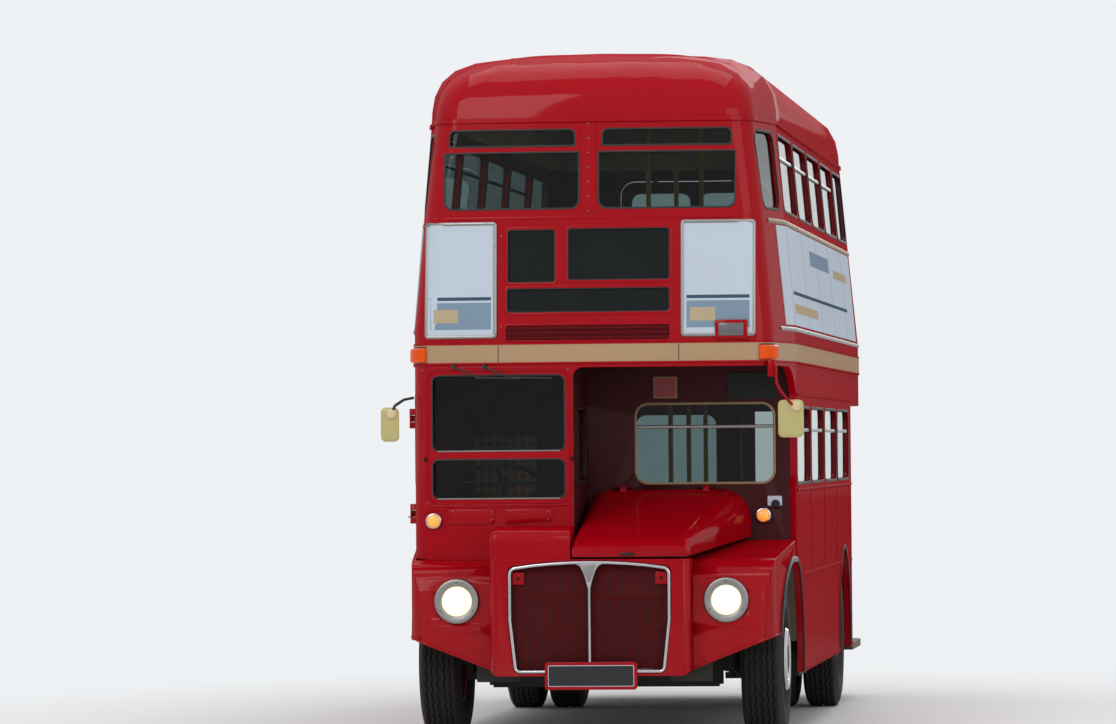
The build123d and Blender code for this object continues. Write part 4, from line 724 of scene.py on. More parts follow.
def finished(mesh: bpy.types.Mesh, name: str, look: Look, body: str,
             sharp: float = 38.0) -> bpy.types.Object:
    """Give a mesh its finish, shading and body.

    Args:
        mesh: The mesh.
        name: The piece's name.
        look: Its finish.
        body: The body that it rides on.
        sharp: Edges over this angle, in degrees, stay sharp.

    Returns:
        The new object.
    """
    mesh.shade_smooth()
    mesh.set_sharp_from_angle(angle=math.radians(sharp))
    if not mesh.materials:
        mesh.materials.append(material(look))
    piece = linked(bpy.data.objects.new(name, mesh))
    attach(piece, body)
    LOG.info("%s: %d faces on %s", name, len(mesh.polygons), body)
    return piece


# A step longer than any side: the outline then has points at its corners only.
FAR = 9.0


def rounded_loop(low: float, high: float, bottom: float, top: float, radii: Pair,
                 grow: float = 0.0, step: float = 0.12) -> list[Pair]:
    """Outline of a rounded rectangle, with points along its straight sides too.

    Args:
        low: Low edge across.
        high: High edge across.
        bottom: Bottom edge.
        top: Top edge.
        radii: Radius of the bottom corners and of the top ones.
        grow: How much larger the loop is all round.
        step: Longest distance between points.

    Returns:
        The outline, anticlockwise.
    """
    low, high, bottom, top = low - grow, high + grow, bottom - grow, top + grow
    foot, head = max(0.002, radii[0] + grow), max(0.002, radii[1] + grow)
    corners = [(high - foot, bottom + foot, -90, foot), (high - head, top - head, 0, head),
               (low + head, top - head, 90, head), (low + foot, bottom + foot, 180, foot)]
    points: list[Pair] = []
    for x, y, start, radius in corners:
        for k in range(7):
            angle = math.radians(start + 15 * k)
            points.append((x + radius * math.cos(angle), y + radius * math.sin(angle)))
    full: list[Pair] = []
    for (x0, y0), (x1, y1) in zip(points, points[1:] + points[:1]):
        parts = max(1, math.ceil(math.hypot(x1 - x0, y1 - y0) / step))
        full += [(x0 + (x1 - x0) * k / parts, y0 + (y1 - y0) * k / parts) for k in range(parts)]
    return full


def plate_ring(box: Sequence[float], radius: float, grow: float, y: float) -> list[Vector]:
    """Outline of a rounded plate that faces the front or the rear, with points at its corners only."""
    return [Vector((x, y, z)) for x, z in rounded_loop(*box, (radius, radius), grow, FAR)]


def strip_profile(width: float, height: float, base: float = -0.002) -> list[Pair]:
    """Half-round section of a bead, gasket or moulding."""
    half = width / 2
    return [(-half, base), (-half, height * 0.45), (-half * 0.62, height * 0.9), (0.0, height),
            (half * 0.62, height * 0.9), (half, height * 0.45), (half, base)]


# The body's form


@dataclass(frozen=True)
class Level:
    """One level of the body in plan."""

    z: float
    half: float
    front_half: float
    setback: float
    rear_inset: float
    front_radius: float
    rear_radius: float


@dataclass(frozen=True)
class BodyForm:
    """The outer surface of the bodywork, level by level."""

    front: float = -3.885
    rear: float = 4.195
    bow: float = 0.038
    taper: float = -3.03
    cantrail_z: float = 3.93
    lean: float = 0.070
    levels: tuple[Level, ...] = (
        Level(0.400, 1.219, 1.140, 0.000, 0.0, 0.150, 0.230),
        Level(2.600, 1.219, 1.135, 0.000, 0.0, 0.150, 0.230),
        Level(3.335, 1.153, 1.068, 0.062, 0.070 * 0.735 / 1.33, 0.165, 0.300),
        Level(3.930, 1.100, 1.008, 0.118, 0.070, 0.190, 0.330),
    )

    def level(self, z: float) -> Level:
        """The plan at a level, between the rows of the table."""
        rows = self.levels
        for low, high in zip(rows, rows[1:]):
            if low.z <= z <= high.z:
                share = (z - low.z) / (high.z - low.z)
                a, b = vars(low), vars(high)
                return Level(**{key: a[key] + (b[key] - a[key]) * share for key in a})
        return rows[0] if z < rows[0].z else rows[-1]

    def plan(self, z: float, step: float = 0.10) -> list[Vector]:
        """Points round the body at a level, from the middle of the rear, anticlockwise.

        Args:
            z: The level.
            step: Longest distance between points on straight runs.

        Returns:
            The points of a closed loop.
        """
        row = self.level(z)
        front_y, rear_y = self.front + row.setback, self.rear - row.rear_inset
        corner_y, flat = front_y + self.bow, row.front_half - row.front_radius
        half: list[Pair] = [(0.0, rear_y), (row.half - row.rear_radius, rear_y)]
        for k in range(1, 9):
            angle = math.radians(90 - 90 * k / 8)
            half.append((row.half - row.rear_radius + row.rear_radius * math.cos(angle),
                         rear_y - row.rear_radius + row.rear_radius * math.sin(angle)))
        half.append((row.half, self.taper))
        for k in range(9):
            angle = math.radians(-90 * k / 8)
            half.append((flat + row.front_radius * math.cos(angle),
                         corner_y + row.front_radius + row.front_radius * math.sin(angle)))
        bend = (flat ** 2 + self.bow ** 2) / (2 * self.bow)
        for k in range(1, 11):
            x = flat * (1 - k / 10)
            half.append((x, front_y + bend - math.sqrt(bend ** 2 - x ** 2)))
        loop = half + [(-x, y) for x, y in reversed(half[1:-1])]
        points = []
        for (x0, y0), (x1, y1) in zip(loop, loop[1:] + loop[:1]):
            parts = max(1, math.ceil(math.hypot(x1 - x0, y1 - y0) / step))
            points += [Vector((x0 + (x1 - x0) * k / parts, y0 + (y1 - y0) * k / parts, z))
                       for k in range(parts)]
        return points

    def ring(self, z: float, keep: Callable[[Vector], bool] | None = None,
             inset: float = 0.0) -> list[Framed]:
        """A path round the body at a level, or the part of it that a test keeps."""
        points = self.plan(z)
        above = self.plan(z + 0.01) if z < self.cantrail_z else points
        framed = []
        for i, point in enumerate(points):
            run = points[(i + 1) % len(points)] - points[i - 1]
            rise = Vector((0, 0, 1))
            if len(above) == len(points):
                rise = (above[i] - point).normalized() if above is not points else rise
            outward = rise.cross(run).normalized()
            if outward.dot(Vector((point.x, point.y, 0))) < 0 and abs(outward.x) > 0.5:
                outward = -outward
            if abs(outward.x) <= 0.5 and outward.y * point.y < 0:
                outward = -outward
            framed.append((point - outward * inset, outward))
        if keep is None:
            return framed
        flags = [keep(p) for p, _ in framed]
        start = next(i for i in range(len(flags)) if flags[i] and not flags[i - 1])
        picked = []
        for k in range(len(framed)):
            i = (start + k) % len(framed)
            if not flags[i]:
                break
            picked.append(framed[i])
        return picked

    def side_x(self, y: float, z: float) -> float:
        """Half the body's width at a place along it, ahead of the rear corner."""
        row = self.level(z)
        corner = self.front + row.setback + self.bow + row.front_radius
        if y >= self.taper:
            return row.half
        return row.front_half + (row.half - row.front_half) * (y - corner) / (self.taper - corner)

    def outward(self, point: Vector, near: Vector) -> Vector:
        """The body's outward direction at a point on one of its faces.

        Args:
            point: A point on the wall, outside or inside.
            near: The middle of its face, which settles the wall where two meet.

        Returns:
            The outward direction.
        """
        height = max(0.41, min(3.92, near.z))
        row, above = self.level(height), self.level(height + 0.01)
        front_y, rear_y = self.front + row.setback, self.rear - row.rear_inset
        lean_side = (row.half - above.half) / 0.01
        lean_end = (above.rear_inset - row.rear_inset) / 0.01
        radius, middle = row.rear_radius, Vector((row.half, rear_y))
        if near.y < 0:
            lean_end = (above.setback - row.setback) / 0.01
            radius, middle = row.front_radius, Vector((row.front_half, front_y + self.bow))
        inward = radius if near.y < 0 else -radius
        centre = Vector((middle.x - radius, middle.y + inward))
        across = Vector((abs(point.x) - centre.x, point.y - centre.y))
        end = 1.0 if near.y > 0 else -1.0
        if abs(near.x) > centre.x and (near.y - centre.y) * end > 0:
            flat = across.normalized()
        elif (near.y - centre.y) * end > 0:
            bend = (centre.x ** 2 + self.bow ** 2) / (2 * self.bow)
            slope = abs(point.x) / bend if near.y < 0 else 0.0
            flat = Vector((slope, end)).normalized()
        else:
            taper = (row.half - row.front_half) / (self.taper - centre.y)
            flat = Vector((1.0, -taper if near.y < self.taper else 0.0)).normalized()
        lean = lean_side * abs(flat.x) + lean_end * abs(flat.y)
        return Vector((math.copysign(flat.x, near.x), flat.y, lean)).normalized()

    def side(self, sign: int) -> Surface:
        """The side wall as a surface of places along and heights."""
        return lambda y, z: Vector((sign * self.side_x(y, z), y, z))

    def front_wall(self) -> Surface:
        """The front wall as a surface of places across and heights."""

        def point(x: float, z: float) -> Vector:
            """The wall's point: bowed in the middle, turned round the corner past it."""
            row = self.level(z)
            flat = row.front_half - row.front_radius
            bend = (flat ** 2 + self.bow ** 2) / (2 * self.bow)
            front_y = self.front + row.setback
            if abs(x) <= flat:
                return Vector((x, front_y + bend - math.sqrt(bend ** 2 - x ** 2), z))
            past = min(abs(x) - flat, row.front_radius * 0.999)
            return Vector((x, front_y + self.bow + row.front_radius
                           - math.sqrt(row.front_radius ** 2 - past ** 2), z))

        return point

    def rear_wall(self) -> Surface:
        """The rear wall as a surface of places across and heights."""
        return lambda x, z: Vector((x, self.rear - self.level(z).rear_inset, z))


FORM = BodyForm()


def framed(surface: Surface, outward: Sequence[float], places: Iterable[Pair]) -> list[Framed]:
    """Put places on a surface and add the surface's outward direction at each.

    Args:
        surface: The surface.
        outward: Roughly which way is out.
        places: Places on the surface.

    Returns:
        Points with their outward directions.
    """
    path = []
    for a, b in places:
        point = surface(a, b)
        normal = (surface(a + 0.001, b) - point).cross(surface(a, b + 0.001) - point).normalized()
        if normal.dot(Vector(outward)) < 0:
            normal = -normal
        path.append((point, normal))
    return path


@dataclass(frozen=True)
class Window:
    """A rounded window opening in a wall, in metres across and up."""

    low: float
    high: float
    bottom: float
    top: float
    radius: float
    square: str = ""

    def loop(self, grow: float = 0.0, step: float = 0.12) -> list[Pair]:
        """Outline of the opening, grown all round.

        Args:
            grow: How much larger the outline is.
            step: Longest distance between points.

        Returns:
            The outline, anticlockwise.
        """
        small = 0.006
        low_r = small if self.square == "bottom" else self.radius
        top_r = small if self.square == "top" else self.radius
        return rounded_loop(self.low, self.high, self.bottom, self.top, (low_r, top_r), grow, step)

    def part(self, left: float, right: float, low: float, high: float) -> "Window":
        """A field of the opening, by its edges' shares of the width and of the height."""
        wide, tall = self.high - self.low, self.top - self.bottom
        return Window(self.low + wide * left, self.low + wide * right, self.bottom + tall * low,
                      self.bottom + tall * high, 0.01)

    def within(self, across: float, up: float) -> "Window":
        """The opening made smaller by a margin at each side, and one below and above."""
        return Window(self.low + across, self.high - across, self.bottom + up, self.top - up, 0.01)


# Pitch of the side windows.
BAY = 1.42
SIDE_BAYS = [(FORM.taper + BAY * k + 0.055, FORM.taper + BAY * k + 1.365) for k in range(4)]
LOWER_SIDE = [Window(a, b, 1.615, 2.110, 0.085) for a, b in SIDE_BAYS]
UPPER_SIDE = [Window(a, b, 3.350, 3.850, 0.085)
              for a, b in [(-3.623, -3.125), *SIDE_BAYS, (2.705, 3.755)]]
UPPER_FRONT = [Window(-0.935, -0.075, 3.352, 3.715, 0.060, "top"),
               Window(0.040, 0.905, 3.352, 3.715, 0.060, "top"),
               Window(-0.905, -0.100, 3.747, 3.858, 0.040, "bottom"),
               Window(0.065, 0.880, 3.747, 3.858, 0.040, "bottom")]
WINDSCREEN = [Window(-1.015, -0.170, 1.838, 2.318, 0.045), Window(-1.015, -0.170, 1.540, 1.792, 0.045)]
BULKHEAD = Window(0.185, 1.080, 1.620, 2.137, 0.085)
CAB_INNER = Window(-3.665, -3.115, 1.640, 2.110, 0.070)
CAB_DOOR_PANE = Window(-3.525, -3.115, 1.640, 2.200, 0.055)
REAR_PANE = Window(-0.480, 0.150, 1.520, 2.110, 0.090)
EMERGENCY = Window(-0.560, 0.560, 2.960, 3.850, 0.110)
EMERGENCY_PANES = [Window(-0.490, -0.025, 3.330, 3.770, 0.080), Window(0.025, 0.490, 3.330, 3.770, 0.080)]
BLINDS = [Window(-0.536, -0.224, 2.888, 3.231, 0.025), Window(-0.155, 0.495, 2.900, 3.236, 0.025),
          Window(-0.540, 0.495, 2.700, 2.862, 0.025)]
LOUVRE = Window(-0.540, 0.490, 2.530, 2.625, 0.012)
POSTERS = [Window(-1.040, -0.612, 2.560, 3.262, 0.010), Window(0.574, 1.010, 2.560, 3.262, 0.010)]
FRONT = (0.0, -1.0, 0.0)
REAR = (0.0, 1.0, 0.0)
BULKHEAD_Y = -2.995
CAB_WALL_X = -0.118
NOSE_Y = -4.195
NEARSIDE, OFFSIDE = 1, -1
FRONT_AXLE_Y, REAR_AXLE_Y, AXLE_Z = -3.095, 2.036, 0.505
LOWER_DECK, UPPER_DECK, PLATFORM = 0.660, 2.450, 0.420


def wall_of(surface: Surface, outward: Sequence[float]) -> Wall:
    """A wall, as what gives the places on it their outward directions."""
    return lambda places: framed(surface, outward, places)


ON_FRONT = wall_of(FORM.front_wall(), FRONT)
ON_REAR = wall_of(FORM.rear_wall(), REAR)
ON_BULKHEAD = wall_of(lambda x, z: Vector((x, BULKHEAD_Y, z)), FRONT)
ON_CAB_WALL = wall_of(lambda y, z: Vector((CAB_WALL_X, y, z)), (1.0, 0.0, 0.0))
ON_SIDE = {side: wall_of(FORM.side(side), (float(side), 0.0, 0.0)) for side in (NEARSIDE, OFFSIDE)}


def facing_front(places: Iterable[Pair], y: float) -> list[Framed]:
    """Places across and up a plane that faces the front."""
    return [(Vector((x, y, z)), Vector(FRONT)) for x, z in places]


def bead(shape: Shape, wall: Wall, windows: Iterable[Window], width: float, height: float,
         grow: float = -0.004) -> Shape:
    """Carry a bead round windows of one wall.

    Args:
        shape: What the beads are added to.
        wall: The wall.
        windows: The openings.
        width: Width of the bead.
        height: How far it stands out.
        grow: How far its middle lies outside the opening's edge.

    Returns:
        The shape.
    """
    for window in windows:
        shape.strip(wall(window.loop(grow)), width, height, True)
    return shape


# Repeats by geometry nodes


class RepeatTree:
    """A geometry-nodes tree that sets one form on many places."""

    def __init__(self, name: str, inputs: dict[str, str], output: str) -> None:
        """Start the tree.

        Args:
            name: The tree's name.
            inputs: Kinds of input by name.
            output: Name of the result.
        """
        self.tree = bpy.data.node_groups.new(name, "GeometryNodeTree")
        self.keys: dict[str, str] = {}
        for label, kind in inputs.items():
            socket = self.tree.interface.new_socket(name=label, in_out="INPUT",
                                                    socket_type=f"NodeSocket{kind}")
            self.keys[label] = socket.identifier
        self.tree.interface.new_socket(name=output, in_out="OUTPUT", socket_type="NodeSocketGeometry")
        self.into = self.tree.nodes.new("NodeGroupInput").outputs

    def close(self, inputs: dict[str, Value]) -> None:
        """Set the form on its places, make the copies real and give them their finish."""
        place = add_node(self.tree, "GeometryNodeInstanceOnPoints", inputs)
        real = add_node(self.tree, "GeometryNodeRealizeInstances", {0: place.outputs["Instances"]})
        paint = add_node(self.tree, "GeometryNodeSetMaterial",
                         {"Geometry": real.outputs[0], "Material": self.into["Finish"]})
        add_node(self.tree, "NodeGroupOutput", {0: paint.outputs["Geometry"]})

    def run(self, mesh: bpy.types.Mesh, values: dict[str, object]) -> bpy.types.Mesh:
        """Run the tree on a mesh.

        Args:
            mesh: The mesh.
            values: Values by input name.

        Returns:
            The result as one plain mesh.
        """
        holder = linked(bpy.data.objects.new(mesh.name, mesh))
        modifier = holder.modifiers.new("repeat", "NODES")
        modifier.node_group = self.tree
        for label, value in values.items():
            modifier[self.keys[label]] = value
        holder.update_tag()
        bpy.context.view_layer.update()
        result = evaluated(holder)
        bpy.data.objects.remove(holder)
        return result


class NodeRepeat(RepeatTree):
    """A tree that sets one small form on every point of a mesh."""

    def __init__(self, name: str, sides: int, taper: float) -> None:
        """Build the tree.

        Args:
            name: The tree's name.
            sides: How many sides the small form has.
            taper: Radius of its top over the radius of its foot.
        """
        super().__init__(name, {"Places": "Geometry", "Radius": "Float", "Height": "Float",
                                "Seed": "Int", "Finish": "Material"}, "Forms")
        tree, into = self.tree, self.into
        form = add_node(tree, "GeometryNodeMeshCone", {
            "Vertices": sides, "Radius Bottom": into["Radius"], "Depth": into["Height"],
            "Radius Top": maths(tree, "MULTIPLY", into["Radius"], taper)})
        outward = add_node(tree, "GeometryNodeInputNamedAttribute", {"Name": "outward"},
                           data_type="FLOAT_VECTOR")
        aim = add_node(tree, "FunctionNodeAlignRotationToVector",
                       {"Vector": outward.outputs["Attribute"]}, axis="Z")
        spin = add_node(tree, "FunctionNodeRandomValue", {3: 2 * math.pi, "Seed": into["Seed"]},
                        data_type="FLOAT")
        turn = add_node(tree, "ShaderNodeCombineXYZ", {"Z": spin.outputs[1]})
        rotate = add_node(tree, "FunctionNodeRotateRotation", {
            "Rotation": aim.outputs["Rotation"], "Rotate By": turn.outputs["Vector"]},
            rotation_space="LOCAL")
        points = add_node(tree, "GeometryNodeMeshToPoints", {"Mesh": into["Places"]})
        self.close({"Points": points.outputs["Points"], "Instance": form.outputs["Mesh"],
                    "Rotation": rotate.outputs["Rotation"]})

    def fit(self, places: Sequence[Framed], radius: float, height: float, name: str, look: Look,
            body: str = "root") -> bpy.types.Object:
        """Set the form on places and turn the result into one plain piece.

        Args:
            places: Points with their outward directions.
            radius: Radius of each form.
            height: Height of each form.
            name: The piece's name.
            look: Its finish.
            body: The body that it rides on.

        Returns:
            The new object.
        """
        seeds = bpy.data.meshes.new(f"{name}_places")
        seeds.from_pydata([tuple(p + n * height / 2) for p, n in places], [], [])
        attribute = seeds.attributes.new("outward", "FLOAT_VECTOR", "POINT")
        attribute.data.foreach_set("vector", [value for _, n in places for value in n])
        mesh = self.run(seeds, {"Radius": radius, "Height": height, "Seed": 7,
                                "Finish": material(look)})
        return finished(mesh, name, look, body)


class BarRepeat(RepeatTree):
    """A tree that repeats one form along a straight line."""

    def __init__(self, name: str) -> None:
        """Build the tree under a name."""
        super().__init__(name, {"Form": "Geometry", "Count": "Int", "Start": "Vector",
                                "Pitch": "Vector", "Finish": "Material"}, "Row")
        line = add_node(self.tree, "GeometryNodeMeshLine", {
            "Count": self.into["Count"], "Start Location": self.into["Start"],
            "Offset": self.into["Pitch"]})
        self.close({"Points": line.outputs["Mesh"], "Instance": self.into["Form"]})

    def mesh(self, form: Shape, count: int, start: float, pitch: float, look: Look) -> bpy.types.Mesh:
        """Repeat a form across the bus, from a start at a pitch, as one plain mesh."""
        return self.run(form.plain_mesh("form"), {
            "Count": count, "Start": (start, 0.0, 0.0), "Pitch": (pitch, 0.0, 0.0),
            "Finish": material(look)})


@dataclass
class Screwed:
    """A sub-assembly with small fasteners."""

    screws: NodeRepeat


def spaced(path: Sequence[Framed], pitch: float, closed: bool = False) -> list[Framed]:
    """Places at even distances along a path.

    Args:
        path: Points with their outward directions.
        pitch: Distance between places.
        closed: True for a loop.

    Returns:
        The places, each with its outward direction.
    """
    points = list(path) + ([path[0]] if closed else [])
    lengths = [0.0]
    for (a, _), (b, _) in zip(points, points[1:]):
        lengths.append(lengths[-1] + (b - a).length)
    count = max(1, round(lengths[-1] / pitch))
    places = []
    for k in range(count if closed else count + 1):
        target = lengths[-1] * k / count
        i = max(1, next((n for n, d in enumerate(lengths) if d >= target - 1e-9), len(lengths) - 1))
        share = (target - lengths[i - 1]) / max(1e-9, lengths[i] - lengths[i - 1])
        (a, n), (b, m) = points[i - 1], points[i]
        places.append((a.lerp(b, share), n.lerp(m, share).normalized()))
    return places


# Bodywork


@dataclass(frozen=True)
class Panel:
    """How a CAD panel is finished: its outside, its inside and the softness of its edges."""

    node: str
    inside: Look = Look.LINING
    outside: Look = Look.RED
    edge: float = 0.0016
    body: str = "root"

    @property
    def on_form(self) -> bool:
        """Whether the panel lies along the body's walls."""
        return self.node.startswith(("upper", "lower", "cab", "emergency"))


class Bodywork:
    """Painted panels with softened edges, lined on the inside."""

    PANELS = (
        Panel("upper_front"), Panel("upper_rear"), Panel("upper_side_nearside"),
        Panel("upper_side_offside"), Panel("front_dome", Look.CEILING), Panel("rear_dome", Look.CEILING),
        Panel("roof_panels", Look.CEILING), Panel("lower_side_nearside"), Panel("lower_side_offside"),
        # The bulkhead and the cab's nearside take the darkened red: painted shade under the canopy.
        Panel("lower_rear"), Panel("front_bulkhead", Look.LINING, Look.DEEP_RED_AND_PAINTED_SHADE),
        # The cab panels' black insides are painted shade that keeps the cab dark behind the windscreen.
        Panel("cab_front", Look.BLACK), Panel("cab_offside", Look.BLACK),
        Panel("cab_nearside", Look.BLACK, Look.DEEP_RED_AND_PAINTED_SHADE), Panel("cab_door", Look.BLACK, body="cab_door"),
        Panel("emergency_door", body="emergency_door"),
        Panel("front_wing_nearside", Look.CHASSIS, edge=0.003),
        Panel("front_wing_offside", Look.CHASSIS, edge=0.003),
        Panel("nose_cowl", Look.RED, edge=0.003),
        Panel("bonnet", Look.CHASSIS, edge=0.003, body="bonnet"),
    )
    SHARP, ALONG_WALL, ROUND_EDGE = 32.0, 14.0, 50.0

    def __init__(self, nodes: dict[str, bpy.types.Object]) -> None:
        """Keep the CAD nodes that the panels are made from."""
        self.nodes = nodes

    def build(self) -> None:
        """Make every panel."""
        for panel in self.PANELS:
            self.refine(panel)

    @staticmethod
    def faces_in(panel: Panel, face: bmesh.types.BMFace) -> bool:
        """Whether a face is on the inside of a panel."""
        centre, normal = face.calc_center_median(), face.normal
        if "dome" in panel.node or panel.node == "roof_panels":
            return normal.dot(centre - Vector((0, max(-2.6, min(2.9, centre.y)), 3.4))) < -0.02
        if panel.node == "front_bulkhead":
            return normal.y > 0.7
        if panel.node == "cab_nearside":
            return normal.x < -0.7
        if panel.node == "bonnet":
            return normal.z < -0.1
        if panel.node.startswith("front_wing"):
            return normal.y > 0.3 or normal.z < -0.5
        across = abs(normal.x) > 0.6 and normal.x * centre.x < 0
        along = abs(normal.y) > 0.6 and normal.y * centre.y < 0 and abs(centre.y) > 3.7
        return across or along

    def refine(self, panel: Panel) -> bpy.types.Object:
        """Copy a CAD panel, soften its sharp edges and paint its two sides.

        Args:
            panel: What to make.

        Returns:
            The new piece, which stands for the CAD node.
        """
        build = opened(self.nodes[panel.node], 2e-5)
        bmesh.ops.dissolve_limit(build, angle_limit=math.radians(0.4), use_dissolve_boundaries=False,
                                 verts=build.verts, edges=build.edges, delimit={"NORMAL"})
        build.normal_update()
        sharp = [edge for edge in build.edges
                 if len(edge.link_faces) == 2 and edge.calc_face_angle(0.0) > math.radians(40)
                 and edge.calc_length() > panel.edge * 2.5]
        bmesh.ops.bevel(build, geom=sharp, offset=panel.edge, segments=1, profile=0.5, affect="EDGES",
                        clamp_overlap=False)
        build.normal_update()
        for face in build.faces:
            face.material_index = 1 if self.faces_in(panel, face) else 0
        bmesh.ops.triangulate(build, faces=[f for f in build.faces if len(f.verts) > 4])
        mesh = bpy.data.meshes.new(panel.node)
        build.to_mesh(mesh)
        build.free()
        mesh.materials.append(material(panel.outside))
        mesh.materials.append(material(panel.inside))
        piece = finished(self.levelled(mesh), f"panel_{panel.node}", panel.outside, panel.body,
                         self.SHARP)
        if panel.on_form:
            self.shade_to_form(piece.data)
        if "dome" in panel.node:
            self.shade_evenly(piece.data)
        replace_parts(piece, panel.node)
        return piece

    @staticmethod
    def shade_to_form(mesh: bpy.types.Mesh) -> None:
        """Shade the faces that lie along the body by its own outward directions.

        Args:
            mesh: The mesh.
        """
        along = math.cos(math.radians(Bodywork.ALONG_WALL))
        beside = math.cos(math.radians(Bodywork.ROUND_EDGE))
        normals = [corner.vector.copy() for corner in mesh.corner_normals]
        known: dict[int, Vector] = {}
        others = []
        for face in mesh.polygons:
            facing = face.normal.dot(FORM.outward(face.center, face.center))
            if abs(facing) < along:
                others.append(face)
                continue
            for index in face.loop_indices:
                vertex = mesh.loops[index].vertex_index
                outward = FORM.outward(mesh.vertices[vertex].co, face.center)
                normals[index] = outward * math.copysign(1.0, facing)
                known[vertex] = normals[index]
        for face in others:
            for index in face.loop_indices:
                normal = known.get(mesh.loops[index].vertex_index)
                if normal is not None and normal.dot(face.normal) > beside:
                    normals[index] = normal
        mesh.normals_split_custom_set(normals)

    @staticmethod
    def shade_evenly(mesh: bpy.types.Mesh, reach: float = 0.11) -> None:
        """Shade a pressed panel by the average lie of its skin round each corner.

        Args:
            mesh: The mesh.
            reach: How far round a corner the faces count, in metres.
        """
        tree = KDTree(len(mesh.polygons))
        for face in mesh.polygons:
            tree.insert(face.center, face.index)
        tree.balance()
        normals = [corner.vector.copy() for corner in mesh.corner_normals]
        kept: dict[tuple[int, int], Vector] = {}
        for face in mesh.polygons:
            for index in face.loop_indices:
                vertex = mesh.loops[index].vertex_index
                own = normals[index]
                key = (vertex, round(own.x * 2) * 25 + round(own.y * 2) * 5 + round(own.z * 2))
                if key not in kept:
                    total = own * 1e-6
                    for _, other, gap in tree.find_range(mesh.vertices[vertex].co, reach):
                        near = mesh.polygons[other]
                        if near.normal.dot(own) > 0.8:
                            total += near.normal * near.area * (1.0 - gap / reach)
                    kept[key] = total.normalized()
                normals[index] = kept[key]
        mesh.normals_split_custom_set(normals)

    @staticmethod
    def levelled(mesh: bpy.types.Mesh) -> bpy.types.Mesh:
        """Weight a mesh's normals by area so that its large faces shade flat.

        Args:
            mesh: The mesh.

        Returns:
            A copy with its own normals.
        """
        mesh.shade_smooth()
        mesh.set_sharp_from_angle(angle=math.radians(Bodywork.SHARP))
        holder = linked(bpy.data.objects.new("levelled", mesh))
        weigh = holder.modifiers.new("weigh", "WEIGHTED_NORMAL")
        weigh.keep_sharp = True
        weigh.weight = 90
        copy = evaluated(holder)
        bpy.data.objects.remove(holder)
        return copy


class WindowTrim:
    """Rubbers round every pane and their bright bars."""

    def build(self) -> None:
        """Make the rubbers and the bars."""
        self.rubbers()
        self.bars()

    @staticmethod
    def rubbers() -> None:
        """Make the rubbers of the body, the cab door and the emergency door."""
        body, sills = Shape(), Shape()
        for wall in ON_SIDE.values():
            bead(body, wall, LOWER_SIDE + UPPER_SIDE, 0.018, 0.004)
        bead(body, ON_FRONT, UPPER_FRONT, 0.012, 0.003)
        bead(body, ON_CAB_WALL, [CAB_INNER], 0.018, 0.004)
        bead(body, ON_REAR, [REAR_PANE], 0.018, 0.004).make("window_rubbers", Look.GASKET)
        bead(Shape(), ON_FRONT, WINDSCREEN, 0.010, 0.003).make("windscreen_rubbers", Look.GASKET)
        for window in WINDSCREEN:
            row = level_row(window.low + 0.035, window.low + 0.810, window.bottom + 0.003, 10)
            sills.strip(ON_FRONT(row), 0.009, 0.005)
        sills.make("windscreen_sills", Look.DULL_METAL)
        bead(Shape(), ON_BULKHEAD, [BULKHEAD], 0.016, 0.004).make("bulkhead_window_bead", Look.TAN)
        bead(Shape(), ON_SIDE[OFFSIDE], [CAB_DOOR_PANE], 0.018, 0.004).make(
            "cab_door_rubber", Look.GASKET, "cab_door")
        rear = bead(Shape(), ON_REAR, EMERGENCY_PANES, 0.018, 0.004)
        bead(rear, ON_REAR, [EMERGENCY], 0.016, 0.004, -0.012).make(
            "emergency_door_rubber", Look.GASKET, "emergency_door")

    @staticmethod
    def bars() -> None:
        """Make the bars of the winding and opening windows."""
        bars = Shape()
        for wall in ON_SIDE.values():
            for window in LOWER_SIDE + UPPER_SIDE[1:5]:
                row = level_row(window.low, window.high, window.top - 0.150, 8)
                bars.strip(lifted(wall(row), -0.012), 0.022, 0.006)
        row = level_row(BULKHEAD.low + 0.002, BULKHEAD.high - 0.001, 1.985, 10)
        bars.strip(lifted(ON_BULKHEAD(row), -0.014), 0.022, 0.006)
        bars.make("window_bars", Look.DULL_METAL)


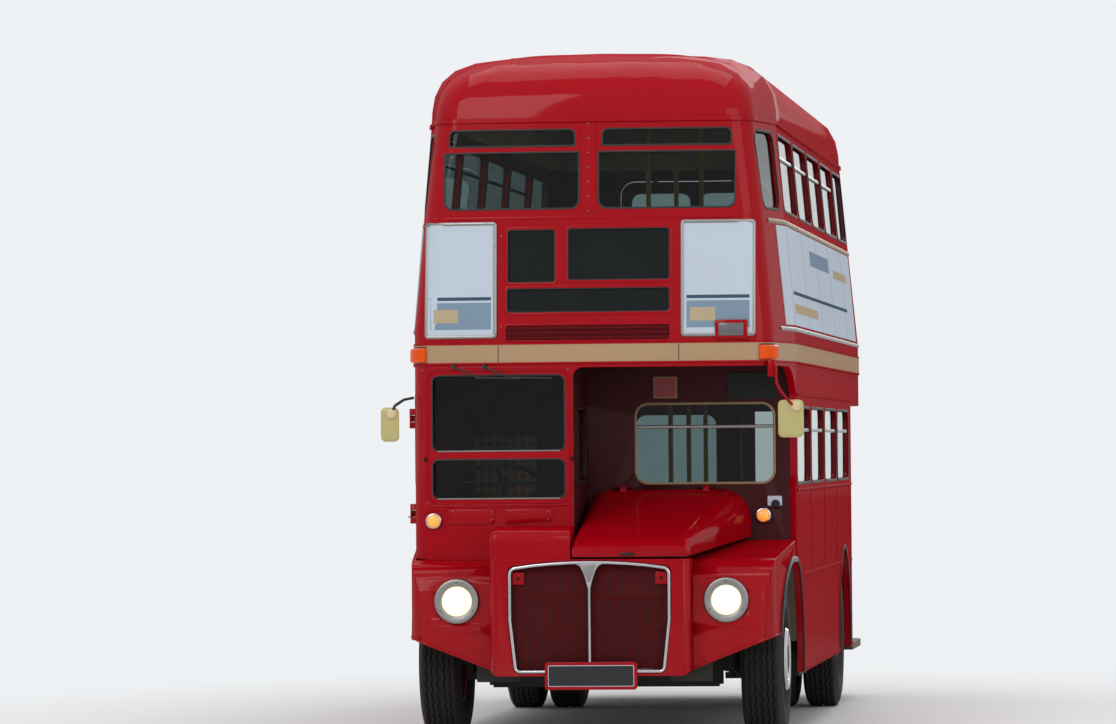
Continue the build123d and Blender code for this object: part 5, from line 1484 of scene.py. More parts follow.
class SideMouldings(Screwed):
    """Beads, strips and screws along the body's sides, with the band's red rim."""

    @staticmethod
    def wall(side: int, start: float, end: float) -> Callable[[Vector], bool]:
        """A test for points on one side wall between two places along it."""
        return lambda p: p.x * side > 0.9 and start < p.y < end

    def build(self) -> None:
        """Make every strip and its fasteners."""
        red, gold, bright = Shape(), Shape(), Shape()
        places: list[Framed] = []
        for side in (NEARSIDE, OFFSIDE):
            rear_end = 2.93 if side == NEARSIDE else 3.99
            whole, lower = self.wall(side, -3.60, 3.99), self.wall(side, BULKHEAD_Y, rear_end)
            for shape, z, width, keep, pitch in (
                    (gold, 3.278, 0.030, whole, 0.28), (bright, 2.598, 0.026, whole, 0.28),
                    (red, 2.185, 0.022, lower, 0.0), (red, 1.580, 0.030, lower, 0.30)):
                path = FORM.ring(z, keep)
                shape.strip(path, width, 0.007)
                places += spaced(lifted(path, 0.006), pitch) if pitch else []
            for z, width in ((1.030, 0.030), (0.425, 0.026)):
                for start, end in self.gaps(z, rear_end):
                    red.strip(FORM.ring(z, self.wall(side, start, end)), width, 0.007)
        for z, height in ((2.388, 0.012), (2.511, 0.009)):
            red.strip(FORM.ring(z), 0.014, height, True)
        red.make("body_beads", Look.RED)
        gold.make("gold_strips", Look.TAN)
        bright.make("bright_strips", Look.DULL_METAL)
        self.screws.fit(places, 0.0055, 0.003, "strip_screws", Look.DULL_METAL)
        self.seams()

    @staticmethod
    def gaps(z: float, rear_end: float) -> list[Pair]:
        """Runs of a low bead between the wheel arches."""
        reach = math.sqrt(max(0.0, 0.640 ** 2 - (z - AXLE_Z) ** 2))
        return [(FRONT_AXLE_Y + reach, REAR_AXLE_Y - reach), (REAR_AXLE_Y + reach, rear_end)]

    def seams(self) -> None:
        """Make the upright cover strips between panels, their rivets and the poster's joints."""
        strips, joints = Shape(), Shape()
        rivets: list[Framed] = []
        for wall in ON_SIDE.values():
            for y in (FORM.taper + BAY * k for k in range(5)):
                joint = wall([(y, z) for z in run_of(2.62, 3.26, 8)])
                joints.strip(lifted(joint, 0.005), 0.005, 0.001)
                if y > FORM.taper:
                    foot = 1.18 if abs(y - REAR_AXLE_Y) < 0.65 else 1.06
                    path = lifted(wall([(y, z) for z in run_of(foot, 1.56, 8)]), 0.001)
                    strips.sweep(path, [(-0.016, -0.001), (-0.014, 0.0015), (0.014, 0.0015),
                                        (0.016, -0.001)], False)
                    rivets += spaced(lifted(path, 0.0015), 0.075)
        strips.make("panel_cover_strips", Look.RED)
        joints.make("poster_joints", Look.POSTER_MID)
        self.screws.fit(rivets, 0.004, 0.002, "panel_rivets", Look.RED)


class FrontDisplay(Screwed):
    """Blank blinds, posters, vent mesh, seams and the corner lamps of the upper front."""

    PANEL_EDGES = (-0.588, 0.545)

    def __init__(self, screws: NodeRepeat) -> None:
        """Keep the screws' tree and start the posters' colour fields."""
        super().__init__(screws)
        self.fields = {look: Shape() for look in (Look.POSTER_DEEP, Look.POSTER_MID, Look.POSTER_WARM)}

    def build(self) -> None:
        """Make every part of the display."""
        self.blinds()
        places = self.posters()
        self.side_posters()
        self.screws.fit(places, 0.005, 0.003, "poster_screws", Look.DULL_METAL)
        self.seams()
        self.small_lamps()

    @staticmethod
    def sheet(shape: Shape, window: Window, inset: float, columns: int = 12, thick: float = 0.001) -> None:
        """Lay a thin sheet over a window's area of the front wall.

        Args:
            shape: What the sheet is added to.
            window: The area.
            inset: How far the sheet's front lies inside the wall's surface.
            columns: Steps across.
            thick: Thickness.
        """
        wall, rows = FORM.front_wall(), 4
        verts = [wall(x, z) + Vector((0, depth, 0)) for depth in (inset, inset + thick)
                 for z in run_of(window.bottom, window.top, rows)
                 for x in run_of(window.low, window.high, columns)]
        faces = []
        span = columns + 1
        layer = span * (rows + 1)
        for r in range(rows):
            for c in range(columns):
                a = r * span + c
                faces.append([a, a + 1, a + span + 1, a + span])
                faces.append([layer + a, layer + a + span, layer + a + span + 1, layer + a + 1])
        rim = [*range(span), *(r * span + columns for r in range(1, rows + 1)),
               *(rows * span + c for c in range(columns - 1, -1, -1)),
               *(r * span for r in range(rows - 1, 0, -1))]
        for a, b in zip(rim, rim[1:] + rim[:1]):
            faces.append([a, layer + a, layer + b, b])
        shape.add(verts, faces)

    def blinds(self) -> None:
        """Hang the plain cloths behind the glasses and frame the three openings."""
        cloth, mesh = Shape(), Shape()
        for window in BLINDS:
            self.sheet(cloth, window.within(0.002, 0.002), 0.019)
        self.sheet(cloth, LOUVRE.within(0.0, 0.002), 0.0245)
        frames = bead(Shape(), ON_FRONT, BLINDS, 0.018, 0.006, 0.004)
        bead(frames, ON_FRONT, [LOUVRE], 0.012, 0.004, 0.004)
        cloth.make("blind_cloths", Look.BLIND)
        for x in run_of(LOUVRE.low, LOUVRE.high, 44):
            mesh.strip(ON_FRONT([(x, LOUVRE.bottom), (x, LOUVRE.top)]), 0.006, 0.004)
        for z in run_of(LOUVRE.bottom, LOUVRE.top, 9):
            mesh.strip(ON_FRONT(level_row(LOUVRE.low, LOUVRE.high, z, 12)), 0.005, 0.003)
        mesh.make("vent_mesh", Look.GRILLE)
        frames.make("blind_frames", Look.RED)
        bead(Shape(), ON_FRONT, BLINDS, 0.007, 0.003, -0.008).make("blind_rubbers", Look.GASKET)

    def posters(self) -> list[Framed]:
        """Frame the two front posters, lay their plain colour fields and give the screws' places."""
        frames, places = Shape(), []
        for window in POSTERS:
            path = ON_FRONT(window.loop(0.004))
            frames.strip(lifted(path, 0.004), 0.020, 0.008, True)
            places += spaced(lifted(path, 0.011), 0.19, True)
            for look, inset, *area in (
                    (Look.POSTER_MID, -0.0056, 0.05, 0.95, 0.06, 0.30),
                    (Look.POSTER_DEEP, -0.0056, 0.05, 0.95, 0.32, 0.35),
                    (Look.POSTER_WARM, -0.0060, 0.10, 0.46, 0.12, 0.24)):
                self.sheet(self.fields[look], window.part(*area), inset, 8, 0.0005)
        frames.make("poster_frames", Look.DULL_METAL)
        return places

    def side_posters(self) -> None:
        """Lay the nearside's sheet and the plain colour fields of both sides."""
        card = Shape()
        stations = [-3.325, *(FORM.taper + 0.33525 * j for j in range(21))]
        for k in range(7):
            card.flat(ON_SIDE[NEARSIDE]([(y, 2.670 + 0.09 * k) for y in stations]), 0.045, -0.001, 0.005)
        card.make("nearside_poster", Look.CARD)
        for wall in ON_SIDE.values():
            for look, z, tall, start, end in (
                    (Look.POSTER_WARM, 2.735, 0.060, -2.90, -0.60),
                    (Look.POSTER_MID, 3.110, 0.100, -0.90, 1.10),
                    (Look.POSTER_DEEP, 2.835, 0.022, -2.90, 2.90),
                    (Look.POSTER_WARM, 3.070, 0.060, 1.60, 3.10)):
                self.fields[look].flat(wall(level_row(start, end, z, 12)), tall / 2, 0.004, 0.0058)
        for look, shape in self.fields.items():
            shape.make(f"poster_{look.value}", look)

    def seams(self) -> None:
        """Draw the raised panel's edges, the dome's rib and the band's joints."""
        ribs, joints = Shape(), Shape()
        for x in self.PANEL_EDGES:
            ribs.strip(ON_FRONT([(x, z) for z in run_of(2.53, 3.28, 12)]), 0.010, 0.003)
        for z, width, height in ((3.300, 0.020, 0.006), (3.905, 0.016, 0.012)):
            ribs.strip(ON_FRONT(level_row(-1.0, 1.0, z, 20)), width, height)
        middle = ON_FRONT([(-0.018, z) for z in run_of(3.34, 3.89, 10)])
        ribs.sweep(middle, [(-0.050, -0.001), (-0.047, 0.004), (0.047, 0.004), (0.050, -0.001)], False)
        ribs.make("front_ribs", Look.RED)
        screws = spaced(lifted(middle, 0.004), 0.09)
        for x in self.PANEL_EDGES:
            joint = ON_FRONT([(x, z) for z in run_of(2.398, 2.502, 4)])
            joints.strip(lifted(joint, 0.006), 0.005, 0.001, False, -0.004)
            screws += ON_FRONT([(x + 0.020, 2.62), (x + 0.020, 3.19)])
        joints.make("band_joints", Look.GASKET)
        self.screws.fit(screws, 0.005, 0.003, "front_screws", Look.DULL_METAL)

    def small_lamps(self) -> None:
        """Add the amber corner flashers and the boxed grey lens."""
        amber, backs = Shape(), Shape()
        for side in (NEARSIDE, OFFSIDE):
            path = FORM.ring(2.444, lambda p, s=side: p.x * s > 1.02 and p.y < -3.70)
            amber.sweep(lifted(path, 0.004),
                        [(-0.042, -0.002), (-0.046, 0.012), (-0.036, 0.026), (0.036, 0.026),
                         (0.046, 0.012), (0.042, -0.002)], False)
            backs.flat(path, 0.054, -0.002, 0.008)
        amber.make("corner_flashers", Look.AMBER)
        backs.make("flasher_backs", Look.PLASTIC)
        y = FORM.front_wall()(0.873, 2.59).y
        Shape().block((0.772, y - 0.022, 2.527), (0.975, y + 0.012, 2.648), 0.010).make(
            "lens_box", Look.RED)
        Shape().block((0.795, y - 0.030, 2.548), (0.952, y - 0.018, 2.628), 0.008).make(
            "grey_lens", Look.GREY_LENS)


# Nose, lamps and wheels


def circle_y(z: float) -> float:
    """Front face of a wing's side outline at a height, an arc through three points."""
    (y0, z0), (y1, z1), (y2, z2) = (-3.990, 0.390), (-4.050, 0.760), (-4.005, 1.040)
    a, b = y1 - y0, z1 - z0
    c, d = y2 - y0, z2 - z0
    e = (y1 * y1 - y0 * y0 + z1 * z1 - z0 * z0) / 2
    f = (y2 * y2 - y0 * y0 + z2 * z2 - z0 * z0) / 2
    centre_y, centre_z = (e * d - b * f) / (a * d - b * c), (a * f - e * c) / (a * d - b * c)
    radius = math.hypot(y0 - centre_y, z0 - centre_z)
    return centre_y - math.sqrt(max(0.0, radius ** 2 - (z - centre_z) ** 2))


class Nose(Screwed):
    """Radiator, blank plate, wing beads, bonnet joints and the cab front's plates."""

    GRILLE = 0.486
    BARS = 92
    WING_OUT, WING_FRONT, WING_CORNER, WING_TAPER = 1.142, -4.060, 0.160, 0.0763
    ARCH = 0.636

    def build(self) -> None:
        """Make every part of the nose."""
        self.bars()
        self.frame()
        self.plate()
        self.wing_beads()
        self.rear_beads()
        self.bonnet_joints()
        self.cab_face()

    def bars(self) -> None:
        """Repeat the fine upright bars of the radiator between its rails."""
        bar = Shape().block((-0.0029, NOSE_Y + 0.061, 0.468), (0.0029, NOSE_Y + 0.072, 1.140), 0.0012)
        pitch = 2 * self.GRILLE / (self.BARS - 1)
        mesh = BarRepeat("Radiator bars").mesh(bar, self.BARS, -self.GRILLE, pitch, Look.GRILLE)
        build = bmesh.new()
        build.from_mesh(mesh)
        for side in (NEARSIDE, OFFSIDE):
            cut = bmesh.ops.bisect_plane(
                build, geom=build.verts[:] + build.edges[:] + build.faces[:], clear_outer=True,
                plane_co=(side * 0.468, 0, 0.495), plane_no=Vector((side, 0, -0.108)).normalized())
            rim = [part for part in cut["geom_cut"] if isinstance(part, bmesh.types.BMEdge)]
            bmesh.ops.holes_fill(build, edges=rim)
        build.to_mesh(mesh)
        build.free()
        rails = Shape()
        for z in (0.500, 0.712, 0.918, 1.090):
            rails.block((-0.480, NOSE_Y + 0.0725, z - 0.008), (0.480, NOSE_Y + 0.082, z + 0.008))
        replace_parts(finished(mesh, "radiator_bars", Look.GRILLE, "root"), "grille_bars")
        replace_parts(rails.make("radiator_rails", Look.GRILLE), "grille_bars")
        brackets, nuts = Shape(), []
        for x in (-0.446, 0.446):
            brackets.block((x - 0.038, NOSE_Y + 0.046, 1.008), (x + 0.038, NOSE_Y + 0.060, 1.086), 0.006)
            nuts.append((Vector((x, NOSE_Y + 0.046, 1.047)), Vector(FRONT)))
        brackets.make("radiator_brackets", Look.RED)
        self.screws.fit(nuts, 0.011, 0.007, "bracket_nuts", Look.BLACK)

    @staticmethod
    def outline(inset: float) -> list[Pair]:
        """Radiator outline: narrower below, with a crowned top and round corners."""
        right = [(0.438 - inset, 0.455 + inset)]
        right += [(0.438 + 0.040 * math.sin(a) - inset, 0.495 - 0.040 * math.cos(a) + inset * (1 - k / 6))
                  for k, a in ((k, math.radians(15 * k)) for k in range(1, 7))]
        right += [(0.510 - inset, 0.790), (0.510 - inset, 1.085 - inset)]
        right += [(0.470 + 0.040 * math.cos(a) - inset, 1.085 + 0.040 * math.sin(a) - inset)
                  for a in (math.radians(22.5 * k) for k in range(1, 5))]
        right += [(x, 1.125 + 0.033 * (1 - (x / 0.470) ** 2) - inset) for x in (0.35, 0.24, 0.12, 0.0)]
        return right + [(-x, z) for x, z in reversed(right[:-1])]

    def frame(self) -> None:
        """Make the bright radiator frame, its centre bar and its plain shield."""
        y = NOSE_Y + 0.044
        tube = [(-0.013, 0.0), (-0.013, 0.018), (-0.008, 0.028), (0.0, 0.0315), (0.008, 0.028),
                (0.013, 0.018), (0.013, 0.0)]
        bright = Shape().sweep(facing_front(self.outline(0.0125), y), tube, True)
        bar = facing_front([(0.0, z) for z in (0.462, 0.60, 0.80, 1.0, 1.06)], y)
        bright.sweep(bar, [(a * 0.85, b * 0.95) for a, b in tube], False)
        flank = [(0.098, 1.146), (0.062, 1.126), (0.044, 1.096), (0.030, 1.060), (0.018, 1.020),
                 (0.010, 0.985)]
        edge = flank + [(-x, z) for x, z in reversed(flank)]
        bright.stack(self.stepped(edge, 1.08, ((1.0, 0.040), (1.0, 0.020), (0.93, 0.0135))))
        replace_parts(bright.make("radiator_frame", Look.CHROME, sharp=50), "grille_frame")
        shield = [(-0.046, 1.128), (-0.042, 1.134), (0.042, 1.134), (0.046, 1.128), (0.004, 1.022),
                  (-0.004, 1.022)]
        Shape().stack(self.stepped(shield, 1.09, ((1.0, 0.016), (1.0, 0.0115), (0.88, 0.0095)))).make(
            "radiator_shield", Look.DULL_METAL)

    @staticmethod
    def stepped(edge: Sequence[Pair], middle: float, steps: Iterable[Pair]) -> list[list[Vector]]:
        """Rings of one outline, each with its own size about a middle height and its own depth."""
        return [[Vector((x * size, NOSE_Y + depth, middle + (z - middle) * size)) for x, z in edge]
                for size, depth in steps]

    @staticmethod
    def plate() -> None:
        """Make the blank front plate, its pale edge, its red surround and its bracket."""
        red = Shape().panel((-0.279, 0.297, 0.356, 0.528), 0.020, NOSE_Y + 0.0115, NOSE_Y + 0.0022, -1)
        red.block((-0.150, NOSE_Y + 0.0115, 0.376), (0.150, NOSE_Y + 0.090, 0.439), 0.004)
        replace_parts(red.make("plate_surround", Look.RED), "number_plate")
        Shape().panel((-0.259, 0.277, 0.376, 0.508), 0.010, NOSE_Y + 0.0040, NOSE_Y + 0.0010, -1).make(
            "front_plate_edge", Look.CARD)
        Shape().panel((-0.255, 0.273, 0.380, 0.504), 0.008, NOSE_Y + 0.0022, NOSE_Y + 0.0002, -1).make(
            "blank_front_plate", Look.PLATE)

    def wing_side(self, y: float) -> float:
        """How far out a wing's side is at a place along it."""
        return self.WING_OUT + (y + 3.9) * self.WING_TAPER

    def wing_place(self, x: float, y: float | None, side: int) -> Vector:
        """Point of a wing's lower edge at a place across it, or along it where y is given."""
        z = 0.480 + (x - 0.630) * 0.3956
        if y is not None:
            return Vector((side * x, y, z))
        past = max(0.0, x - self.WING_OUT + self.WING_CORNER)
        depth = math.sqrt(max(0.0, self.WING_CORNER ** 2 - past ** 2))
        plan = self.WING_FRONT + self.WING_CORNER - depth
        return Vector((side * x, max(plan, circle_y(z)), z))

    def wing_beads(self) -> None:
        """Roll the wings' lower edges and line their arches with a black guard."""
        rolled, guard = Shape(), Shape()
        for side in (NEARSIDE, OFFSIDE):
            front = [(self.wing_place(0.636 + 0.0346 * k, None, side), Vector(FRONT)) for k in range(11)]
            for k in range(1, 8):
                turn = math.radians(12 * k)
                x = self.WING_OUT - self.WING_CORNER + self.WING_CORNER * math.sin(turn)
                front.append((self.wing_place(x, None, side),
                              Vector((side * math.sin(turn), -math.cos(turn), 0))))
            outward = Vector((side, -0.076, 0)).normalized()
            front += [(self.wing_place(self.wing_side(y), y, side), outward) for y in (-3.86, -3.80, -3.74)]
            rolled.strip(front, 0.015, 0.008)
            arch = [(Vector((side * self.wing_side(y), y, z)), outward)
                    for y, z in self.arc(FRONT_AXLE_Y, 14, 99, 23)]
            guard.strip(arch, 0.034, 0.014)
        rolled.make("wing_rolled_edges", Look.RED)
        guard.make("wing_arch_guards", Look.BLACK)

    def arc(self, axle: float, start: float, end: float, steps: int) -> list[Pair]:
        """Places along and up a wheel arch, between two angles from level ahead of the axle."""
        return [(axle - self.ARCH * math.cos(angle), AXLE_Z + self.ARCH * math.sin(angle))
                for angle in run_of(math.radians(start), math.radians(end), steps)]

    def rear_beads(self) -> None:
        """Line the rear arches and the rear halves of the front ones."""
        beads = Shape()
        for wall in ON_SIDE.values():
            for axle, start in ((FRONT_AXLE_Y, 101), (REAR_AXLE_Y, -9)):
                beads.strip(wall(self.arc(axle, start, 189, 32)), 0.022, 0.008)
        beads.make("arch_beads", Look.DEEP_RED_AND_PAINTED_SHADE)

    @staticmethod
    def bonnet_joints() -> None:
        """Draw the joint over the bonnet, its nick in the lip, and its catch."""
        path = facing_front([(0.048, z) for z in (1.184, 1.21, 1.236)], NOSE_Y + 0.0205)
        path += [(Vector((0.048, NOSE_Y + 0.062, 1.270)), Vector((0, -0.6, 0.8))),
                 (Vector((0.049, NOSE_Y + 0.102, 1.2985)), Vector((0, -0.5, 0.87)))]
        path += [(Vector((0.05 + 0.05 * k / 8, NOSE_Y + 0.105 + 1.081 * k / 8, 1.3005 + 0.285 * k / 8)),
                  Vector((0, -0.26, 0.966))) for k in range(1, 9)]
        Shape().strip(path, 0.006, 0.0022).make("bonnet_joint", Look.RED, "bonnet")
        Shape().block((0.196, NOSE_Y + 0.008, 1.186), (0.284, NOSE_Y + 0.0225, 1.204), 0.005).make(
            "bonnet_catch", Look.BLACK, "bonnet")

    def cab_face(self) -> None:
        """Add the waist bead, ventilator plates, windscreen frame and its catches."""
        wall = FORM.front_wall()
        red = Shape()
        for z, low, high, width in ((1.502, -1.060, -0.130, 0.012), (1.488, -0.930, -0.262, 0.008)):
            red.strip(ON_FRONT(level_row(low, high, z, 10)), width, 0.005)
        for grow, height in ((0.026, 0.007), (0.044, 0.003)):
            loop = rounded_loop(-1.015, -0.170, 1.540, 2.318, (0.045, 0.045), grow)
            red.strip(ON_FRONT(loop), 0.010, height, True)
        red.make("cab_front_beads", Look.RED)
        plates, screws = Shape(), []
        for low, high, tilt in ((-0.913, -0.620, 0.0), (-0.553, -0.260, 0.02)):
            edge = [(low, 1.383), (high, 1.383 + tilt), (high + 0.002, 1.478), (low, 1.476)]
            shrunk = [(x + (0.006 if x == low else -0.006), z + (0.005 if z < 1.42 else -0.005))
                      for x, z in edge]
            rings = [[wall(x, z) - Vector((0, out, 0)) for x, z in ring]
                     for ring, out in ((edge, -0.004), (edge, 0.007), (shrunk, 0.010))]
            plates.stack(rings)
            screws += [(wall(x, z) - Vector((0, 0.0095, 0)), Vector(FRONT))
                       for x, z in ((low + 0.03, 1.466), (high - 0.02, 1.462), (high - 0.02, 1.41))]
        plates.make("ventilator_plates", Look.RED)
        screws += [(wall(x, z), Vector(FRONT))
                   for x, z in ((-1.075, 2.352), (-1.045, 1.520), (-0.150, 2.35))]
        self.screws.fit(screws, 0.005, 0.003, "cab_front_screws", Look.DULL_METAL)
        catches = [(wall(x, 1.792) - Vector((0, 0.002, 0)), Vector(FRONT)) for x in (-1.062, -0.128)]
        self.screws.fit(catches, 0.013, 0.016, "windscreen_catches", Look.BLACK)


class LampSet(Screwed):
    """Bright rims, glasses and flashers."""

    HEAD_RIM = [(0.0955, -0.022), (0.1372, -0.022), (0.1372, 0.012), (0.1395, 0.014), (0.1395, 0.0185),
                (0.1350, 0.0235), (0.1270, 0.0245), (0.1040, 0.0225), (0.0990, 0.0200), (0.0965, 0.0080)]
    HEAD_GLASS = [(0.0945, -0.004), (0.0945, 0.0060), (0.0890, 0.0125), (0.0700, 0.0185), (0.0480, 0.0225),
                  (0.0240, 0.0248), (0.0001, 0.0255)]
    SIDE_RIM = [(0.036, -0.025), (0.045, -0.025), (0.0465, 0.012), (0.0500, 0.0160), (0.0500, 0.0210),
                (0.0450, 0.0255), (0.0400, 0.0262), (0.0385, 0.0200)]
    SIDE_GLASS = [(0.0395, 0.0180), (0.0365, 0.0270), (0.0280, 0.0335), (0.0140, 0.0375), (0.0001, 0.0385)]

    def build(self) -> None:
        """Make the lamps, which stand for the solid ones."""
        rims, screws = Shape(), []
        head_rims, head, side, red, amber = Shape(), Shape(), Shape(), Shape(), Shape()
        for x in (-0.842, 0.842):
            centre = Vector((x, -4.044, 0.905))
            head_rims.lathe(centre, FRONT, self.HEAD_RIM, 72, True)
            head.lathe(centre, FRONT, self.HEAD_GLASS, 96,
                       shift=lambda s, j: 0.0012 * (s % 4 < 2) * (2 <= j <= 5))
            screws += [(centre + Vector((0.117 * math.sin(a), -0.0232, 0.117 * math.cos(a))), Vector(FRONT))
                       for a in (0.0, 2.1, 4.2)]
        for centre in ((-1.005, -3.853, 1.405), (1.004, -3.006, 1.417)):
            rims.lathe(centre, FRONT, self.SIDE_RIM, 40, True)
            side.lathe(centre, FRONT, self.SIDE_GLASS, 40)
        for x in (-0.960, 0.330):
            rims.lathe((x, 4.183, 0.760), REAR, [(r * 0.9, h * 0.9) for r, h in self.SIDE_RIM], 40, True)
            red.lathe((x, 4.183, 0.760), REAR, [(r * 0.9, min(h, 0.026) * 0.9) for r, h in self.SIDE_GLASS],
                      40)
            red.lathe((x, 4.192, 0.600), REAR, [(0.030, -0.006), (0.029, 0.008), (0.0001, 0.010)], 32)
            amber.lathe((x, 4.192, 0.900), REAR, [(0.038, -0.006), (0.036, 0.009), (0.020, 0.013),
                                                  (0.0001, 0.014)], 36)
        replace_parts(rims.make("lamp_rims", Look.CHROME, sharp=50), "lamps")
        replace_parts(head_rims.make("headlamp_rims", Look.DULL_METAL, sharp=50), "lamps")
        head.make("headlamp_glasses", Look.HEADLAMP, sharp=60)
        side.make("side_lamp_glasses", Look.SIDE_LENS)
        red.make("rear_lamp_glasses", Look.RED_LENS)
        amber.make("rear_flashers", Look.AMBER)
        self.screws.fit(screws, 0.0045, 0.0025, "lamp_screws", Look.BLACK)
        self.bulkhead_signs()
        self.rear_signs()

    @staticmethod
    def bulkhead_signs() -> None:
        """Make the blank blind, the blank plates and the horn button beside the bonnet."""
        for name, look, box, radius, depths in (
                ("secondary_blind", Look.BLIND, (0.775, 1.090, 2.158, 2.328), 0.006, (0.002, -0.010)),
                ("square_plate_edge", Look.TAN, (0.306, 0.458, 2.168, 2.306), 0.004, (0.002, -0.003)),
                ("blank_square_plate", Look.WHEEL, (0.314, 0.450, 2.176, 2.298), 0.004, (0.001, -0.0045)),
                ("blank_white_plate", Look.CARD, (1.030, 1.122, 1.478, 1.540), 0.006, (0.002, -0.006))):
            back, front = (BULKHEAD_Y + depth for depth in depths)
            Shape().panel(box, radius, back, front, -1).make(name, look)
        Shape().lathe((1.082, BULKHEAD_Y - 0.006, 1.489), FRONT,
                      [(0.027, -0.006), (0.027, 0.010), (0.021, 0.016), (0.0001, 0.017)], 32).make(
            "horn_cover", Look.BLACK)
        # The head rail takes the darkened red: painted shade under the canopy.
        Shape().block((-0.112, BULKHEAD_Y + 0.001, 2.350), (1.165, BULKHEAD_Y + 0.034, 2.389), 0.002).make(
            "bulkhead_head_rail", Look.DEEP_RED_AND_PAINTED_SHADE)

    @staticmethod
    def rear_signs() -> None:
        """Make the blank rear plate and the blank rear blind."""
        Shape().panel((-0.420, 0.100, 0.905, 1.015), 0.008, 4.190, 4.2005, 1).make(
            "blank_rear_plate", Look.PLATE)
        Shape().panel((-0.520, 0.130, 2.190, 2.310), 0.010, 4.165, 4.1965, 1).make(
            "blank_rear_blind", Look.BLIND)


class RoadWheels:
    """Treaded tyres, wheel nuts, guard rings and hub caps."""

    def __init__(self, nuts: NodeRepeat) -> None:
        """Keep the tree that sets the wheel nuts."""
        self.nuts = nuts

    def build(self) -> None:
        """Make the tyres and the fittings of every wheel."""
        for side, name in ((NEARSIDE, "nearside"), (OFFSIDE, "offside")):
            front, rear = Shape(), Shape()
            self.tyre(front, (side * 1.020, FRONT_AXLE_Y, AXLE_Z), 0.131)
            for x in (0.764, 1.060):
                self.tyre(rear, (side * x, REAR_AXLE_Y, AXLE_Z), 0.125)
            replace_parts(front.make(f"treaded_front_{name}", Look.TYRE, f"wheel_front_{name}", 30.0),
                        f"front_tyre_{name}")
            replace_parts(rear.make(f"treaded_rear_{name}", Look.TYRE, f"wheels_rear_{name}", 30.0),
                        f"rear_tyres_{name}")
            self.front_fittings(side, name)
            self.rear_fittings(side, name)

    @staticmethod
    def tyre(shape: Shape, centre: Sequence[float], half: float) -> None:
        """Turn one tyre with zigzag grooves and ringed walls.

        Args:
            shape: What the tyre is added to.
            centre: The wheel's centre.
            half: Half the tyre's width.
        """
        wall = [(0.262, 0.62), (0.280, 0.62), (0.302, 0.78), (0.332, 0.945), (0.336, 0.962), (0.344, 0.965),
                (0.350, 0.955), (0.387, 0.995), (0.412, 0.985), (0.416, 1.0), (0.424, 0.998), (0.428, 0.972),
                (0.460, 0.930), (0.465, 0.912), (0.469, 0.905), (0.493, 0.800), (0.501, 0.760)]
        tread: list[Pair] = []
        for edge, top in ((0.56, 0.5035), (0.30, 0.5045), (0.05, 0.5050)):
            tread += [(top, edge + 0.05), (0.492, edge + 0.035), (0.492, edge - 0.035), (top, edge - 0.05)]
        near = wall + tread[:-2]
        profile = [(r, out * half) for r, out in near] + [(r, -out * half) for r, out in reversed(near)]
        grooves = range(len(wall), len(profile) - len(wall))
        shape.lathe(centre, (1, 0, 0), profile, 160, True,
                    lambda s, j: (0.004 if s % 4 < 2 else -0.004) if j in grooves else 0.0)

    def ring_of(self, centre: Vector, side: int, radius: float, count: int) -> list[Framed]:
        """Even places round a wheel's axis, facing outwards."""
        return [(centre + Vector((0, radius * math.cos(a), radius * math.sin(a))), Vector((side, 0, 0)))
                for a in (2 * math.pi * k / count for k in range(count))]

    def front_fittings(self, side: int, name: str) -> None:
        """Add the nuts, the bright guard ring and the hub cap of a front wheel."""
        body, axis = f"wheel_front_{name}", (side, 0, 0)
        centre = Vector((side * 1.151, FRONT_AXLE_Y, AXLE_Z))
        self.nuts.fit(self.ring_of(centre - Vector((side * 0.064, 0, 0)), side, 0.162, 8), 0.018, 0.022,
                      f"front_nuts_{name}", Look.DULL_METAL, body)
        ring = Shape().lathe(centre, axis, [
            (0.1255, -0.0130), (0.1245, -0.0040), (0.1360, 0.0110), (0.1500, 0.0135), (0.1740, 0.0135),
            (0.1880, 0.0110), (0.1995, -0.0040), (0.1985, -0.0130), (0.1930, -0.0100), (0.1840, 0.0040),
            (0.1400, 0.0040), (0.1310, -0.0100)], 72, True)
        ring.make(f"guard_ring_{name}", Look.CHROME, body)
        cap = Shape().lathe(centre, axis, [(0.0935, -0.060), (0.0935, 0.001), (0.088, 0.008),
                                           (0.060, 0.0115), (0.0001, 0.0125)], 48)
        cap.make(f"front_hub_cap_{name}", Look.CHASSIS, body)

    def rear_fittings(self, side: int, name: str) -> None:
        """Add the nuts and the hub cap of a pair of rear wheels."""
        body, axis = f"wheels_rear_{name}", (side, 0, 0)
        face = Vector((side * 1.054, REAR_AXLE_Y, AXLE_Z))
        self.nuts.fit(self.ring_of(face, side, 0.165, 10), 0.018, 0.024, f"rear_nuts_{name}",
                      Look.DULL_METAL, body)
        cap = Shape().lathe((side * 1.145, REAR_AXLE_Y, AXLE_Z), axis,
                            [(0.1115, -0.060), (0.1115, -0.004), (0.104, 0.004), (0.060, 0.006),
                             (0.054, 0.022), (0.046, 0.026), (0.0001, 0.0265)], 48)
        cap.make(f"rear_hub_cap_{name}", Look.WHEEL, body)


